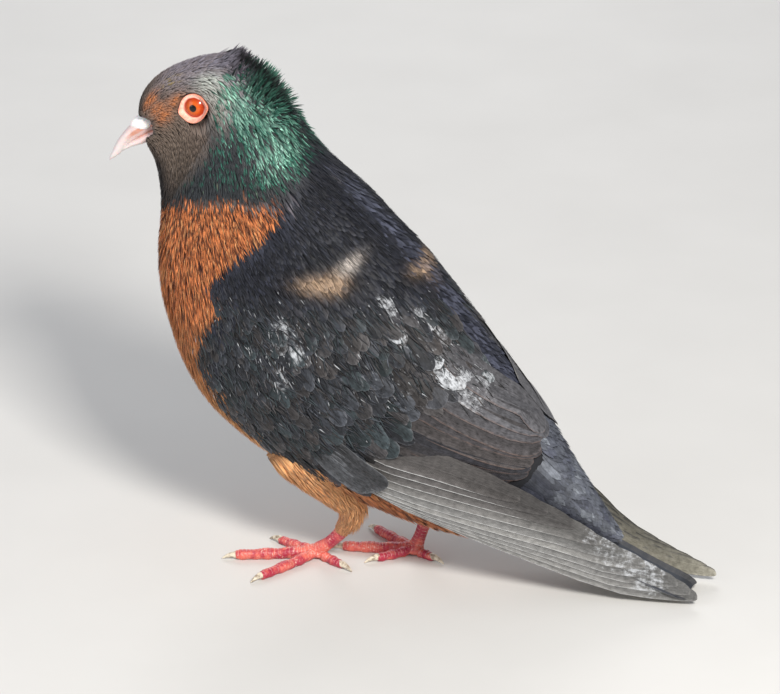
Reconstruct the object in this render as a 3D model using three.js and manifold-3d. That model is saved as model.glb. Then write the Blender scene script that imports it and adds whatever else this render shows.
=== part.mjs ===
// A still, life-size pigeon with a short crest, standing on two feet with its wing tips on the floor.
// Millimetres. The bird heads along -X, its left side is -Y, and +Z is up. The floor is z = 0.
// While it is built, x = 0 is the middle of the left foot; the last lines centre the whole bird.
import * as THREE from 'three';
import { mergeVertices } from 'three/addons/utils/BufferGeometryUtils.js';
import Module from 'manifold-3d';

const wasm = await Module();
wasm.setup();

// ---------------------------------------------------------------- driving dimensions

const GAP = 0.3;              // clearance between neighbouring solids
const FAR = 400;              // larger than the bird, for half-space cutters

// Cross-sections of the plumage, from the face to the rump. Each is [top x, top z, bottom x,
// bottom z, half-width, height of the widest place as a share of top to bottom].
const FORM = [
  [-78.5, 199.0, -76.5, 190.0, 2.5, 0.5],
  [-81.2, 203.5, -78.0, 186.0, 4.8, 0.5],
  [-78.8, 211.0, -76.3, 183.3, 7.6, 0.5],
  [-71.8, 219.0, -74.6, 180.6, 10.3, 0.54],
  [-61.5, 225.2, -73.2, 176.0, 12.9, 0.58],
  [-49.0, 229.6, -72.2, 169.5, 15.2, 0.6],
  [-36.5, 230.0, -71.6, 161.5, 17.8, 0.56],
  [-24.0, 219.5, -71.8, 152.5, 21.5, 0.52],
  [-12.5, 207.5, -72.5, 143.0, 26.0, 0.5],
  [-3.5, 194.5, -72.2, 131.5, 31.0, 0.5],
  [7.0, 182.5, -70.3, 119.5, 36.0, 0.5],
  [20.0, 171.0, -66.5, 107.0, 40.5, 0.49],
  [32.0, 158.5, -60.5, 91.0, 43.5, 0.48],
  [45.5, 145.0, -50.8, 75.0, 45.0, 0.48],
  [58.0, 130.0, -37.0, 62.0, 44.5, 0.48],
  [70.5, 114.5, -16.5, 48.5, 42.0, 0.48],
  [83.0, 99.0, 9.0, 36.5, 37.5, 0.48],
  [95.5, 83.5, 34.5, 26.5, 31.0, 0.48],
  [107.5, 67.5, 58.5, 20.0, 23.0, 0.5],
  [118.5, 51.0, 84.5, 16.5, 15.0, 0.5],
  [130.0, 34.5, 108.0, 16.0, 8.0, 0.5],
];
const FORM_FINE_TO = 5;       // up to this section, the head, rings stand half a section apart
const FORM_SIDES = 24;        // sides of a ring
const FULLNESS = 0.86;        // below 1 the rings of the trunk are fuller than ellipses

// The trunk lies inside the form by the depth of the folded wings, between these sections.
const WING_FROM = 8.5;        // section where the wings begin to cover the trunk
const WING_FULL = 12;         // section from which they cover it at full depth
const WING_DEPTH = 6.5;       // at the sides
const WING_RISE = 1.2;        // along the back

// Cuts between the named parts, each through two points [x, z] of the middle plane.
const HEAD_CUT = { below: [-73, 172], above: [-20, 214] };
const NECK_CUT = { below: [-73, 128], above: [3, 187] };
const BREAST_CUT = { below: [-40, 71], above: [52, 138] };
const RUMP_CUT = { below: [20, 40], above: [90, 90] };
const FLANK_CUT = { front: [-34, 158], rear: [84, 46] };

// Outline of the folded wing in side view, [x, z], from the wrist round over the back and forward
// again along the lower edge. Beyond the back it runs outside the form.
const WING_OUTLINE = [
  [-48.5, 104], [-45, 117], [-37, 128], [-38, 140], [-26, 153], [-8, 168], [4, 190], [60, 190],
  [130, 100], [113, 66], [97, 46], [78, 39], [46, 43], [30, 49], [14, 55], [-5, 57.5], [-21, 64],
  [-35, 77], [-44, 92],
];
const OUTLINE_POINTS = 38;    // points round the smoothed outline
const WING_SPACE = 7;         // half the bare strip between the wings along the back
const COVERTS_TO = 44;        // x along the wing where the coverts end over the secondaries

// The long flight feathers, as sections of one blade: [lower x, y, z, upper x, y, z, bulge, depth].
const BLADE = [
  [30, -38.5, 51, 40, -41, 72, 1.5, 2],
  [50, -36.5, 40, 66, -37, 66, 3, 1.6],
  [78, -30, 26.5, 92, -27, 56, 3.5, 1.4],
  [106, -23.5, 14, 114, -17, 44, 3.5, 1.2],
  [134, -18, 3.2, 134, -10.5, 29, 3, 1],
  [152, -14.5, -0.3, 150, -8.5, 20.5, 2.4, 0.9],
  [167, -12.2, -0.3, 162, -9, 14, 1.6, 0.8],
  [174, -11.2, 1.6, 171, -10.2, 8, 0.9, 0.6],
];
const BLADE_SIDES = 12;
const RIGHT_SPREAD = 8;       // how much farther out the right wing's tip lies than the left's
const RIGHT_REACH = 3;        // how much farther back it reaches
const SPREAD_FROM = 90;       // x where the right blade begins to lie apart

const TAIL = [                // centre x, z, half-width, half-thickness
  [92, 40, 15, 6], [110, 30, 14, 4.5], [130, 19.5, 13, 2.6], [150, 10.5, 12.5, 1.7],
  [163, 5.6, 12, 1.2], [168, 4, 9.5, 0.7],
];

const CREST = [               // foot x, z, peak x, z, half-width
  [-47, 225, -45.5, 231.5, 3.0], [-40, 225, -38, 235.3, 6], [-33, 221, -30, 231.5, 8],
  [-26, 213, -21, 223.5, 7.5], [-18.5, 204, -12.5, 213.5, 5.5], [-12, 195, -6.5, 202.5, 2.5],
];

// Eyeball centre and radius, and the bare ring round it, which looks along a direction of its own.
const EYE = { x: -51.6, y: 8.8, z: 210.0, radius: 6.4 };
const EYE_RING = { outer: 6.6, inner: 4.2, depth: 0.8, seat: 5.2, look: [-0.08, 0.985, 0.06] };

// Bill sections: [centre x, centre z, half-height, half-width], base to tip.
const BILL_UPPER = [
  [-70.0, 195.8, 3.6, 4.6], [-77.5, 192.6, 3.4, 4.2], [-82.6, 189.9, 3.2, 3.7], [-87.2, 186.8, 3.0, 3.0],
  [-91.0, 183.4, 2.8, 2.3], [-94.0, 179.6, 2.0, 1.6], [-95.6, 176.6, 0.9, 0.8],
];
const BILL_LOWER = [
  [-70.0, 189.9, 2.6, 4.3], [-76.5, 187.6, 2.4, 4.0], [-80.6, 185.8, 2.1, 3.4], [-85.0, 183.7, 1.9, 2.7],
  [-88.8, 181.4, 1.5, 1.9], [-91.0, 179.8, 0.8, 1.1],
];
// The hollow of the face, between forehead and chin, where the bill comes out.
const FACE_HOLLOW = { x: -84.5, z: 193, long: 10, high: 6.4, wide: 14 };
// On both sides the corner of the mouth runs further back.
const MOUTH_CORNER = { x: -79.5, y: 6.5, z: 195, long: 8.2, high: 4.8, wide: 6, tilt: 25 };
const CERE = { x: -79.3, z: 195.8, long: 6.4, high: 3.1, wide: 5.7, tilt: 20 };

// Legs: thigh and shank as [x, y, z, radius] along each bone. Toes leave the foot's middle.
const LEGS = {
  left: {
    foot: [0, -7.6],
    thigh: [[-9, -18, 63, 16], [0, -18, 53, 13.5], [8, -17, 44, 10.5], [14, -15.5, 36, 7.6],
      [17, -13.5, 29.5, 5.4], [15.8, -12.3, 23, 3.9], [12, -11, 16, 3.2]],
    shank: [[11, -10.7, 14, 2.9], [6, -9.2, 9, 2.8], [0.5, -7.8, 4.2, 3.5]],
    toes: {
      middle: { tip: [-40.5, -21.5], radius: 2.3, lift: 3.4 },
      outer: { tip: [-21, -41], radius: 2.1, lift: 3.0 },
      inner: { tip: [-26, 3.6], radius: 2.0, lift: 3.2 },
      hind: { tip: [19, -18.5], radius: 1.9, lift: 2.2 },
    },
  },
  right: {
    foot: [40.5, 7.2],
    thigh: [[24, 18, 62, 16], [30, 18, 52, 13.5], [37, 16.5, 43, 10], [43.5, 13.5, 35, 7],
      [47, 11.3, 28.5, 5], [46.5, 10, 22, 3.8], [45, 9.3, 17, 3.1]],
    shank: [[44.6, 9.1, 16, 2.9], [42.8, 8.2, 9.5, 2.8], [41, 7.4, 4.2, 3.5]],
    toes: {
      middle: { tip: [2.5, 1.2], radius: 2.3, lift: 3.4 },
      outer: { tip: [13, 27], radius: 2.1, lift: 3.0 },
      inner: { tip: [21.5, -8.5], radius: 2.0, lift: 3.2 },
      hind: { tip: [56, 0], radius: 1.9, lift: 2.2 },
    },
  },
};
const CLAW_LENGTH = 6.5;
const CLAW_RADIUS = 1.35;
const SOLE = 0.45;            // how far a round toe would reach below the floor before it is cut flat

// ---------------------------------------------------------------- materials

const material = (color, roughness, metalness = 0) =>
  new THREE.MeshStandardMaterial({ color, roughness, metalness });

const MATERIALS = {
  hood: material(0x4f4847, 0.6),
  hackle: material(0x2c4a44, 0.45, 0.2),
  bronze: material(0xa85f34, 0.7),
  mantle: material(0x24262c, 0.5),
  wing: material(0x2b2d33, 0.5),
  flight: material(0x55524f, 0.55),
  tail: material(0x33353a, 0.55),
  buff: material(0xb98a5a, 0.8),
  scute: material(0xb84a5a, 0.5),
  horn: material(0xd9c4c0, 0.4),
  claw: material(0xc9c1ac, 0.4),
  cere: material(0xeee4e2, 0.6),
  iris: material(0xc9551f, 0.1),
  lid: material(0xe0a08c, 0.6),
};

// ---------------------------------------------------------------- shapes

const v3 = (x, y, z) => new THREE.Vector3(x, y, z);

// A closed mesh through rings of points. Each end is closed to its ring's middle.
function loft(rings) {
  const count = rings[0].length;
  const points = rings.flat();
  const index = [];
  for (let row = 0; row + 1 < rings.length; row++) {
    for (let i = 0; i < count; i++) {
      const a = row * count + i;
      const b = row * count + (i + 1) % count;
      index.push(a, b, a + count, b, b + count, a + count);
    }
  }
  for (const [row, flip] of [[0, true], [rings.length - 1, false]]) {
    const middle = points.length;
    const sum = rings[row].reduce((total, p) => total.add(p), v3(0, 0, 0));
    points.push(sum.divideScalar(count));
    for (let i = 0; i < count; i++) {
      const a = row * count + i;
      const b = row * count + (i + 1) % count;
      index.push(...(flip ? [middle, b, a] : [middle, a, b]));
    }
  }
  const places = points.flatMap((p) => [p.x, p.y, p.z]);
  const geometry = new THREE.BufferGeometry();
  geometry.setAttribute('position', new THREE.Float32BufferAttribute(places, 3));
  geometry.setIndex(index);
  return geometry;
}

// Signed volume of an indexed mesh, to tell whether its faces look out.
function volume(geometry) {
  const position = geometry.getAttribute('position');
  const corner = [v3(0, 0, 0), v3(0, 0, 0), v3(0, 0, 0)];
  let total = 0;
  for (let i = 0; i < geometry.index.count; i += 3) {
    corner.forEach((p, k) => p.fromBufferAttribute(position, geometry.index.getX(i + k)));
    total += corner[0].dot(corner[1].cross(corner[2])) / 6;
  }
  return total;
}

function facingOut(geometry) {
  if (volume(geometry) > 0) {
    return geometry;
  }
  const index = geometry.index.array;
  for (let i = 0; i < index.length; i += 3) {
    [index[i + 1], index[i + 2]] = [index[i + 2], index[i + 1]];
  }
  return geometry;
}

function toSolid(source) {
  let geometry = source.clone();
  geometry.deleteAttribute('normal');
  geometry.deleteAttribute('uv');
  geometry = facingOut(mergeVertices(geometry, 1e-4));
  const vertProperties = new Float32Array(geometry.getAttribute('position').array);
  const triVerts = new Uint32Array(geometry.index.array);
  return new wasm.Manifold(new wasm.Mesh({ numProp: 3, vertProperties, triVerts }));
}

function toGeometry(solid) {
  const mesh = solid.getMesh();
  const geometry = new THREE.BufferGeometry();
  geometry.setAttribute('position', new THREE.Float32BufferAttribute(mesh.vertProperties, 3));
  geometry.setIndex(Array.from(mesh.triVerts));
  geometry.computeVertexNormals();
  return geometry;
}

function mirrored(geometry) {
  const copy = geometry.clone().scale(1, -1, 1);
  return facingOut(copy);
}

// Catmull-Rom value of a table's rows at a row number that need not be whole.
function between(rows, at) {
  const last = rows.length - 1;
  const t = THREE.MathUtils.clamp(at, 0, last);
  const i = Math.min(Math.floor(t), last - 1);
  const f = t - i;
  const row = (k) => rows[THREE.MathUtils.clamp(k, 0, last)];
  return rows[0].map((_, c) => {
    const [a, b, d, e] = [row(i - 1)[c], row(i)[c], row(i + 1)[c], row(i + 2)[c]];
    return b + 0.5 * f * (d - a + f * (2 * a - 5 * b + 4 * d - e + f * (3 * (b - d) + e - a)));
  });
}

const rowsOf = (table, steps) => Array.from(
  { length: (table.length - 1) * steps + 1 }, (_, i) => i / steps);

const formRows = rowsOf(FORM, 2).filter((at) => at < FORM_FINE_TO || Number.isInteger(at));

// One ring of the form: two half-ellipses that meet at the widest place. inset(at) gives how far
// the ring lies inside the form along the back and at the sides.
function formRing(at, inset) {
  const [topX, topZ, bottomX, bottomZ, half, share] = between(FORM, at);
  const { rise, depth } = inset(at);
  const top = v3(topX, 0, topZ);
  const bottom = v3(bottomX, 0, bottomZ);
  const up = top.clone().sub(bottom).normalize();
  const centre = bottom.clone().lerp(top, share);
  const above = top.distanceTo(centre) - rise;
  const below = bottom.distanceTo(centre);
  const power = THREE.MathUtils.lerp(1, FULLNESS, THREE.MathUtils.smoothstep(at, 6, 11));
  return Array.from({ length: FORM_SIDES }, (_, i) => {
    const angle = 2 * Math.PI * i / FORM_SIDES;
    const reach = Math.cos(angle) > 0 ? above : below;
    const point = centre.clone().addScaledVector(up, reach * Math.cos(angle));
    point.y = (half - depth) * Math.sign(Math.sin(angle)) * Math.abs(Math.sin(angle)) ** power;
    return point;
  });
}

const formLoft = (inset) => loft(formRows.map((at) => formRing(at, inset)));

const wingInset = (extra) => (at) => {
  const share = THREE.MathUtils.smoothstep(at, WING_FROM, WING_FULL);
  const taper = Math.min(1, between(FORM, at)[4] / 30);
  return { rise: share * WING_RISE - extra, depth: share * WING_DEPTH * taper - extra };
};

// A big box that fills the half-space beyond a plane. The plane holds the Y axis and goes
// through two points of the middle plane.
function halfSpace(from, to, offset) {
  const along = v3(to[0] - from[0], 0, to[1] - from[1]).normalize();
  const normal = v3(along.z, 0, -along.x);
  const box = new THREE.BoxGeometry(2 * FAR, 2 * FAR, 2 * FAR);
  const basis = new THREE.Matrix4().makeBasis(along, v3(0, 1, 0), normal.clone().negate());
  const centre = v3(from[0], 0, from[1]).addScaledVector(normal, FAR + offset);
  return toSolid(box.applyMatrix4(basis).translate(centre.x, centre.y, centre.z));
}

// The two sides of a solid that a plane parts, GAP apart: first the one to the left of the line
// from the first point to the second, seen with the head to the left.
function parted(solid, from, to) {
  const right = halfSpace(from, to, -GAP / 2);
  const left = halfSpace(to, from, -GAP / 2);
  return [solid.subtract(right), solid.subtract(left)];
}

// A tube of changing radius along points [x, y, z, radius], with rounded ends.
function limb(stations, sides = 12, steps = 3) {
  const rows = rowsOf(stations, steps).map((at) => between(stations, at));
  const centres = rows.map((r) => v3(r[0], r[1], r[2]));
  const rings = [];
  const ring = (centre, along, radius) => {
    const side = v3(0, 1, 0).cross(along).normalize();
    const other = along.clone().cross(side);
    return Array.from({ length: sides }, (_, i) => {
      const angle = 2 * Math.PI * (i + 0.5) / sides;
      return centre.clone().addScaledVector(side, radius * Math.cos(angle))
        .addScaledVector(other, radius * Math.sin(angle));
    });
  };
  rows.forEach((row, i) => {
    const along = centres[Math.min(i + 1, rows.length - 1)].clone()
      .sub(centres[Math.max(i - 1, 0)]).normalize();
    if (i === 0) {
      rings.push(ring(centres[i].clone().addScaledVector(along, -0.55 * row[3]), along, 0.5 * row[3]));
    }
    rings.push(ring(centres[i], along, row[3]));
    if (i === rows.length - 1) {
      rings.push(ring(centres[i].clone().addScaledVector(along, 0.55 * row[3]), along, 0.5 * row[3]));
    }
  });
  return loft(rings);
}

// A lens-shaped blade between a lower and an upper edge, bulging to the outside of the wing.
function blade(rows) {
  return loft(rows.map(([lx, ly, lz, ux, uy, uz, bulge, depth]) => {
    const half = v3(ux - lx, uy - ly, uz - lz).multiplyScalar(0.5);
    const middle = v3(lx, ly, lz).add(half);
    const out = v3(0, -half.z, half.y).normalize();
    return Array.from({ length: BLADE_SIDES }, (_, i) => {
      const angle = 2 * Math.PI * i / BLADE_SIDES;
      const side = Math.sin(angle);
      return middle.clone().addScaledVector(half, Math.cos(angle))
        .addScaledVector(out, side * (side > 0 ? bulge : depth));
    });
  }));
}

// An upright ellipse drawn round a centre in the plane across a middle-plane direction.
function beak(rows) {
  return loft(rows.map(([x, z, high, wide], i) => {
    const before = rows[Math.max(i - 1, 0)];
    const after = rows[Math.min(i + 1, rows.length - 1)];
    const along = v3(after[0] - before[0], 0, after[1] - before[1]).normalize();
    const up = v3(along.z, 0, -along.x);
    return Array.from({ length: 12 }, (_, k) => {
      const angle = 2 * Math.PI * k / 12;
      return v3(x, wide * Math.sin(angle), z).addScaledVector(up, high * Math.cos(angle));
    });
  }));
}

// A plate standing on the middle plane, from foot to peak, thickest at its foot.
function crestFin(rows) {
  return loft(rows.map(([footX, footZ, peakX, peakZ, half]) => {
    const foot = v3(footX, 0, footZ);
    const rise = v3(peakX - footX, 0, peakZ - footZ);
    return Array.from({ length: 12 }, (_, k) => {
      const angle = 2 * Math.PI * k / 12;
      const height = 0.5 + 0.5 * Math.cos(angle);
      const point = foot.clone().addScaledVector(rise, height);
      point.y = half * Math.sin(angle) * (1.15 - 0.5 * height);
      return point;
    });
  }));
}

// A slab seen from the side, from its outline in [x, z], reaching from y = near to y = far.
function slab(outline, near, far) {
  const shape = new THREE.Shape(new THREE.SplineCurve(
    [...outline, outline[0]].map(([x, z]) => new THREE.Vector2(x, z))).getPoints(OUTLINE_POINTS));
  const geometry = new THREE.ExtrudeGeometry(shape, { depth: far - near, bevelEnabled: false });
  return geometry.rotateX(Math.PI / 2).translate(0, far, 0);
}

const box = (x0, x1, y0, y1, z0, z1) => toSolid(new THREE.BoxGeometry(x1 - x0, y1 - y0, z1 - z0)
  .translate((x0 + x1) / 2, (y0 + y1) / 2, (z0 + z1) / 2));

const floorCut = box(-FAR, FAR, -FAR, FAR, -FAR, 0);

// ---------------------------------------------------------------- the bird

const pigeon = new THREE.Group();

function add(name, geometry, look) {
  const mesh = new THREE.Mesh(geometry, look);
  mesh.name = name;
  pigeon.add(mesh);
}

const addSolid = (name, solid, look) => add(name, toGeometry(solid), look);

// The same stations or rings with a larger radius, the last number of each.
const grown = (rows, extra) => rows.map((row) => [...row.slice(0, -1), row[row.length - 1] + extra]);

// Shanks and feet, and the thighs with and without clearance.
function legs() {
  const thighs = {};
  const clear = {};
  for (const [side, leg] of Object.entries(LEGS)) {
    thighs[side] = toSolid(limb(leg.thigh, 10, 1));
    clear[side] = toSolid(limb(grown(leg.thigh, GAP), 10, 1));
    const shank = toSolid(limb(leg.shank, 8, 1)).subtract(clear[side]);
    addSolid(`shank_${side}`, largest(shank), MATERIALS.scute);
    foot(side, leg);
  }
  return { thighs, clear };
}

// The ball of the foot, where the toes meet.
const footBall = (leg, extra) => toSolid(new THREE.SphereGeometry(4.2 + extra, 10, 5)
  .scale(1, 1, 0.62).translate(leg.foot[0], leg.foot[1], 2.2));

// The ball, then each toe and its claw. Every piece leaves room for those before it.
function foot(side, leg) {
  let taken = toSolid(limb(grown(leg.shank, GAP), 8, 1));
  addSolid(`foot_${side}`, largest(footBall(leg, 0).subtract(floorCut).subtract(taken)), MATERIALS.scute);
  taken = taken.add(footBall(leg, GAP));
  for (const [name, toe] of Object.entries(leg.toes)) {
    const root = v3(leg.foot[0], leg.foot[1], 0);
    const along = v3(toe.tip[0], toe.tip[1], 0).sub(root);
    const reach = along.length();
    along.normalize();
    const at = (distance, z, radius) => [
      root.x + along.x * distance, root.y + along.y * distance, z, radius];
    const end = reach - CLAW_LENGTH;
    const r = toe.radius;
    const rest = r - SOLE;
    const rows = [
      at(2.5, toe.lift, r), at(0.3 * end, 0.4 * toe.lift + 0.6 * rest, r),
      at(0.6 * end, rest, r), at(end - 0.8 * r, rest * 0.95, 0.85 * r)];
    const claw = [
      at(end - 0.6, 1.9, CLAW_RADIUS), at(end + 2.2, 2.1, 0.9 * CLAW_RADIUS),
      at(end + 4.6, 1.4, 0.6 * CLAW_RADIUS), at(reach - 0.3, 0.55, 0.3)];
    const clawClear = toSolid(limb(grown(claw, GAP), 6, 1));
    const solid = toSolid(limb(rows, 8, 1)).subtract(floorCut).subtract(taken).subtract(clawClear);
    addSolid(`toe_${side}_${name}`, largest(solid), MATERIALS.scute);
    addSolid(`claw_${side}_${name}`, toSolid(limb(claw, 6, 1)).subtract(floorCut), MATERIALS.claw);
    taken = taken.add(toSolid(limb(grown(rows, GAP), 8, 1)));
  }
}

// A round plate facing away from the eyeball's middle, on the given side of the head.
function facing(geometry, sign) {
  const look = v3(EYE_RING.look[0], sign * EYE_RING.look[1], EYE_RING.look[2]).normalize();
  const turn = new THREE.Quaternion().setFromUnitVectors(v3(0, 1, 0), look);
  const seat = v3(EYE.x, sign * EYE.y, EYE.z).addScaledVector(look, EYE_RING.seat);
  return toSolid(geometry.applyQuaternion(turn).translate(seat.x, seat.y, seat.z));
}

function eyes(head) {
  let cut = head;
  const { outer, inner, depth } = EYE_RING;
  for (const [side, sign] of [['left', -1], ['right', 1]]) {
    const ball = (extra) => toSolid(new THREE.SphereGeometry(EYE.radius + extra, 14, 8)
      .translate(EYE.x, sign * EYE.y, EYE.z));
    const profile = [[inner - 1, -depth], [outer, -depth], [outer, 0.1 * depth],
      [inner, depth], [inner - 1, -depth]].map(([r, h]) => new THREE.Vector2(r, h));
    const ring = facing(new THREE.LatheGeometry(profile, 14), sign);
    const clear = new THREE.CylinderGeometry(outer + GAP, outer + GAP, 6 * depth, 14)
      .translate(0, 2 * depth - GAP, 0);
    addSolid(`eye_${side}`, ball(0), MATERIALS.iris);
    addSolid(`eye_ring_${side}`, ring.subtract(ball(GAP)), MATERIALS.lid);
    cut = cut.subtract(ball(GAP)).subtract(facing(clear, sign));
  }
  return cut;
}

function bill(head) {
  const upper = toSolid(beak(BILL_UPPER));
  const upperClear = toSolid(beak(BILL_UPPER.map(([x, z, h, w]) => [x, z, h + GAP, w + GAP])));
  const lower = toSolid(beak(BILL_LOWER));
  const lowerClear = toSolid(beak(BILL_LOWER.map(([x, z, h, w]) => [x, z, h + GAP, w + GAP])));
  const cereShape = (extra) => new THREE.SphereGeometry(1, 12, 8)
    .scale(CERE.long + extra, CERE.wide + extra, CERE.high + extra)
    .rotateY(-THREE.MathUtils.degToRad(CERE.tilt)).translate(CERE.x, 0, CERE.z);
  const cere = toSolid(cereShape(0)).subtract(upperClear);
  addSolid('bill_upper', upper, MATERIALS.horn);
  addSolid('bill_lower', lower.subtract(upperClear), MATERIALS.horn);
  addSolid('cere', largest(cere), MATERIALS.cere);
  const hollow = toSolid(new THREE.SphereGeometry(1, 10, 8)
    .scale(FACE_HOLLOW.long, FACE_HOLLOW.wide, FACE_HOLLOW.high)
    .translate(FACE_HOLLOW.x, 0, FACE_HOLLOW.z));
  const corner = (sign) => toSolid(new THREE.SphereGeometry(1, 10, 8)
    .scale(MOUTH_CORNER.long, MOUTH_CORNER.wide, MOUTH_CORNER.high)
    .rotateY(-THREE.MathUtils.degToRad(MOUTH_CORNER.tilt))
    .translate(MOUTH_CORNER.x, sign * MOUTH_CORNER.y, MOUTH_CORNER.z));
  const face = head.subtract(upperClear).subtract(lowerClear).subtract(toSolid(cereShape(GAP)))
    .subtract(hollow).subtract(corner(-1)).subtract(corner(1));
  return largest(face);
}

// The biggest body of a solid, where a cut left crumbs.
function largest(solid) {
  const bodies = solid.decompose();
  return bodies.reduce((best, body) => (body.volume() > best.volume() ? body : best));
}

// The right wing's blade lies a little apart, more so towards its tip.
function spread(geometry) {
  const position = geometry.getAttribute('position');
  const length = BLADE[BLADE.length - 1][0] - SPREAD_FROM;
  for (let i = 0; i < position.count; i++) {
    const share = Math.max(0, position.getX(i) - SPREAD_FROM) / length;
    position.setX(i, position.getX(i) + RIGHT_REACH * share);
    position.setY(i, position.getY(i) + RIGHT_SPREAD * share * share);
  }
  return geometry;
}

function wings(trunkClear, thighsClear) {
  const outer = toSolid(formLoft(() => ({ rise: 0, depth: 0 })));
  const cover = toSolid(slab(WING_OUTLINE, -FAR, -WING_SPACE));
  const folded = outer.intersect(cover).subtract(trunkClear);
  const feathers = toSolid(blade(BLADE));
  const feathersClear = toSolid(blade(BLADE.map((row) => [
    row[0], row[1], row[2] - 2 * GAP, row[3], row[4], row[5] + 2 * GAP, row[6] + GAP, row[7] + GAP])));
  const split = box(COVERTS_TO - GAP / 2, COVERTS_TO + GAP / 2, -FAR, FAR, -FAR, FAR);
  const front = box(-FAR, COVERTS_TO, -FAR, FAR, -FAR, FAR);
  const whole = folded.subtract(feathersClear).subtract(split);
  const coverts = largest(whole.intersect(front));
  const secondaries = largest(whole.subtract(front));
  const primaries = largest(feathers.subtract(floorCut).subtract(trunkClear));
  for (const [name, solid, look] of [
    ['wing_coverts', coverts, MATERIALS.wing], ['wing_secondaries', secondaries, MATERIALS.wing],
    ['wing_primaries', primaries, MATERIALS.flight]]) {
    const right = toSolid(spread(mirrored(toGeometry(solid))));
    addSolid(`${name}_left`, largest(solid.subtract(thighsClear)), look);
    addSolid(`${name}_right`, largest(right.subtract(thighsClear)), look);
  }
  return feathersClear.add(toSolid(spread(mirrored(toGeometry(feathersClear)))));
}

function body() {
  const trunk = toSolid(formLoft(wingInset(0)));
  const trunkClear = toSolid(formLoft(wingInset(GAP)));
  const leg = legs();
  const thighsClear = leg.clear.left.add(leg.clear.right);
  const bladesClear = wings(trunkClear, thighsClear);
  for (const side of ['left', 'right']) {
    addSolid(`thigh_${side}`, largest(leg.thighs[side].subtract(trunkClear)), MATERIALS.buff);
  }
  const [headEnd, rest] = parted(trunk, HEAD_CUT.below, HEAD_CUT.above);
  const [neck, torso] = parted(rest, NECK_CUT.below, NECK_CUT.above);
  const [upper, lower] = parted(torso, FLANK_CUT.front, FLANK_CUT.rear);
  const [breast, belly] = parted(lower, BREAST_CUT.below, BREAST_CUT.above);
  const [back, rump] = parted(upper, RUMP_CUT.below, RUMP_CUT.above);
  const fin = toSolid(crestFin(CREST));
  const head = largest(bill(eyes(headEnd)));
  addSolid('head', head, MATERIALS.hood);
  addSolid('crest', largest(fin.subtract(trunkClear)), MATERIALS.hackle);
  addSolid('neck', neck, MATERIALS.hackle);
  addSolid('breast', breast, MATERIALS.bronze);
  addSolid('belly', belly, MATERIALS.buff);
  addSolid('back', back, MATERIALS.mantle);
  addSolid('rump', rump, MATERIALS.mantle);
  const tail = toSolid(loft(TAIL.map(([x, z, wide, thick]) => {
    return Array.from({ length: 14 }, (_, i) => {
      const angle = 2 * Math.PI * i / 14;
      return v3(x + 0.45 * thick * Math.cos(angle), wide * Math.sin(angle), z + thick * Math.cos(angle));
    });
  })));
  addSolid('tail', largest(tail.subtract(trunkClear).subtract(bladesClear)), MATERIALS.tail);
}

body();

// The origin is the middle of the bird's box, on the floor.
const bounds = new THREE.Box3().setFromObject(pigeon, true);
const centre = bounds.getCenter(v3(0, 0, 0));
pigeon.position.set(-centre.x, -centre.y, -bounds.min.z);

export default pigeon;
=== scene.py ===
# %% [markdown]
# # A standing pigeon, feather by feather
#
# The solids give a life-size pigeon: its outline, its folded wings, its legs, bill and eyes. This
# lesson dresses that frame. A bird is a bare body under an ordered coat, so the order here is the
# order in life: a skin a little inside the outline, then more than twenty thousand small feathers laid
# on it like tiles along the lie of the plumage, then the long quills of the wings and the tail,
# and last the bare parts, which are the eyes, lids, bill, cere, scaled feet and claws.
#
# Everything is a surface worked out with numpy, as whole arrays, and written into meshes.

import math

import bpy
import numpy as np
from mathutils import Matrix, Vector


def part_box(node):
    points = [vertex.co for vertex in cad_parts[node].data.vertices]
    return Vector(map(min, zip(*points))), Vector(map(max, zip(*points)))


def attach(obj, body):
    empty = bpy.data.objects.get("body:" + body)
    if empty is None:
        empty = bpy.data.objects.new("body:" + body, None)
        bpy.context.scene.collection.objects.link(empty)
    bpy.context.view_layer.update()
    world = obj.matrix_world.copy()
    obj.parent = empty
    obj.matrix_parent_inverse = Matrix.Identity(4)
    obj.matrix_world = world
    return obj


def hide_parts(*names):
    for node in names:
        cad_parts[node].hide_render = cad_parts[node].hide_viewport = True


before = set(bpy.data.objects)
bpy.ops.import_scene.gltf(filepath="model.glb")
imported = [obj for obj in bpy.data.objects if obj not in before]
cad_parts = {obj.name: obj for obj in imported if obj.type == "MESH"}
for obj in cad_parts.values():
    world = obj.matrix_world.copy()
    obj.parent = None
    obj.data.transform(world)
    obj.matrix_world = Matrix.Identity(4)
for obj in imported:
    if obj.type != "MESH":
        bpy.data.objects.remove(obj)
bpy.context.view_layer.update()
print("frame:", len(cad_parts), "nodes")

# %% [markdown]
# ## Bird millimetres
#
# Feathers are easiest to think of in millimetres, from a point that does not move: the middle of
# the left foot. The head looks along -X, the left side is -Y and the floor is z = 0. One function
# takes such points to the frame, in metres.

# %% From bird millimetres to the frame
MM = 0.001
hub_low, hub_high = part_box("foot_left")
HUB = 0.5 * (hub_low.x + hub_high.x)


def to_frame(points):
    """Bird millimetres to frame metres: each coordinate times MM, then x plus HUB."""
    placed = np.array(points, float) * MM
    placed[..., 0] += HUB
    return placed


def srgb(red, green, blue):
    """A screen colour, 0 to 255, as linear light: ((c + 0.055) / 1.055) to the power 2.4."""
    share = np.array([red, green, blue]) / 255
    return np.where(share <= 0.04045, share / 12.92, ((share + 0.055) / 1.055) ** 2.4)


def smooth(low, high, value):
    """0 below low, 1 above high, and t * t * (3 - 2 t) between them."""
    t = np.clip((np.asarray(value, float) - low) / (high - low), 0, 1)
    return t * t * (3 - 2 * t)


def unit(vectors):
    """Vectors divided by their lengths."""
    return vectors / np.maximum(np.linalg.norm(vectors, axis=-1, keepdims=True), 1e-12)


print("left foot at x =", round(HUB, 4))

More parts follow.
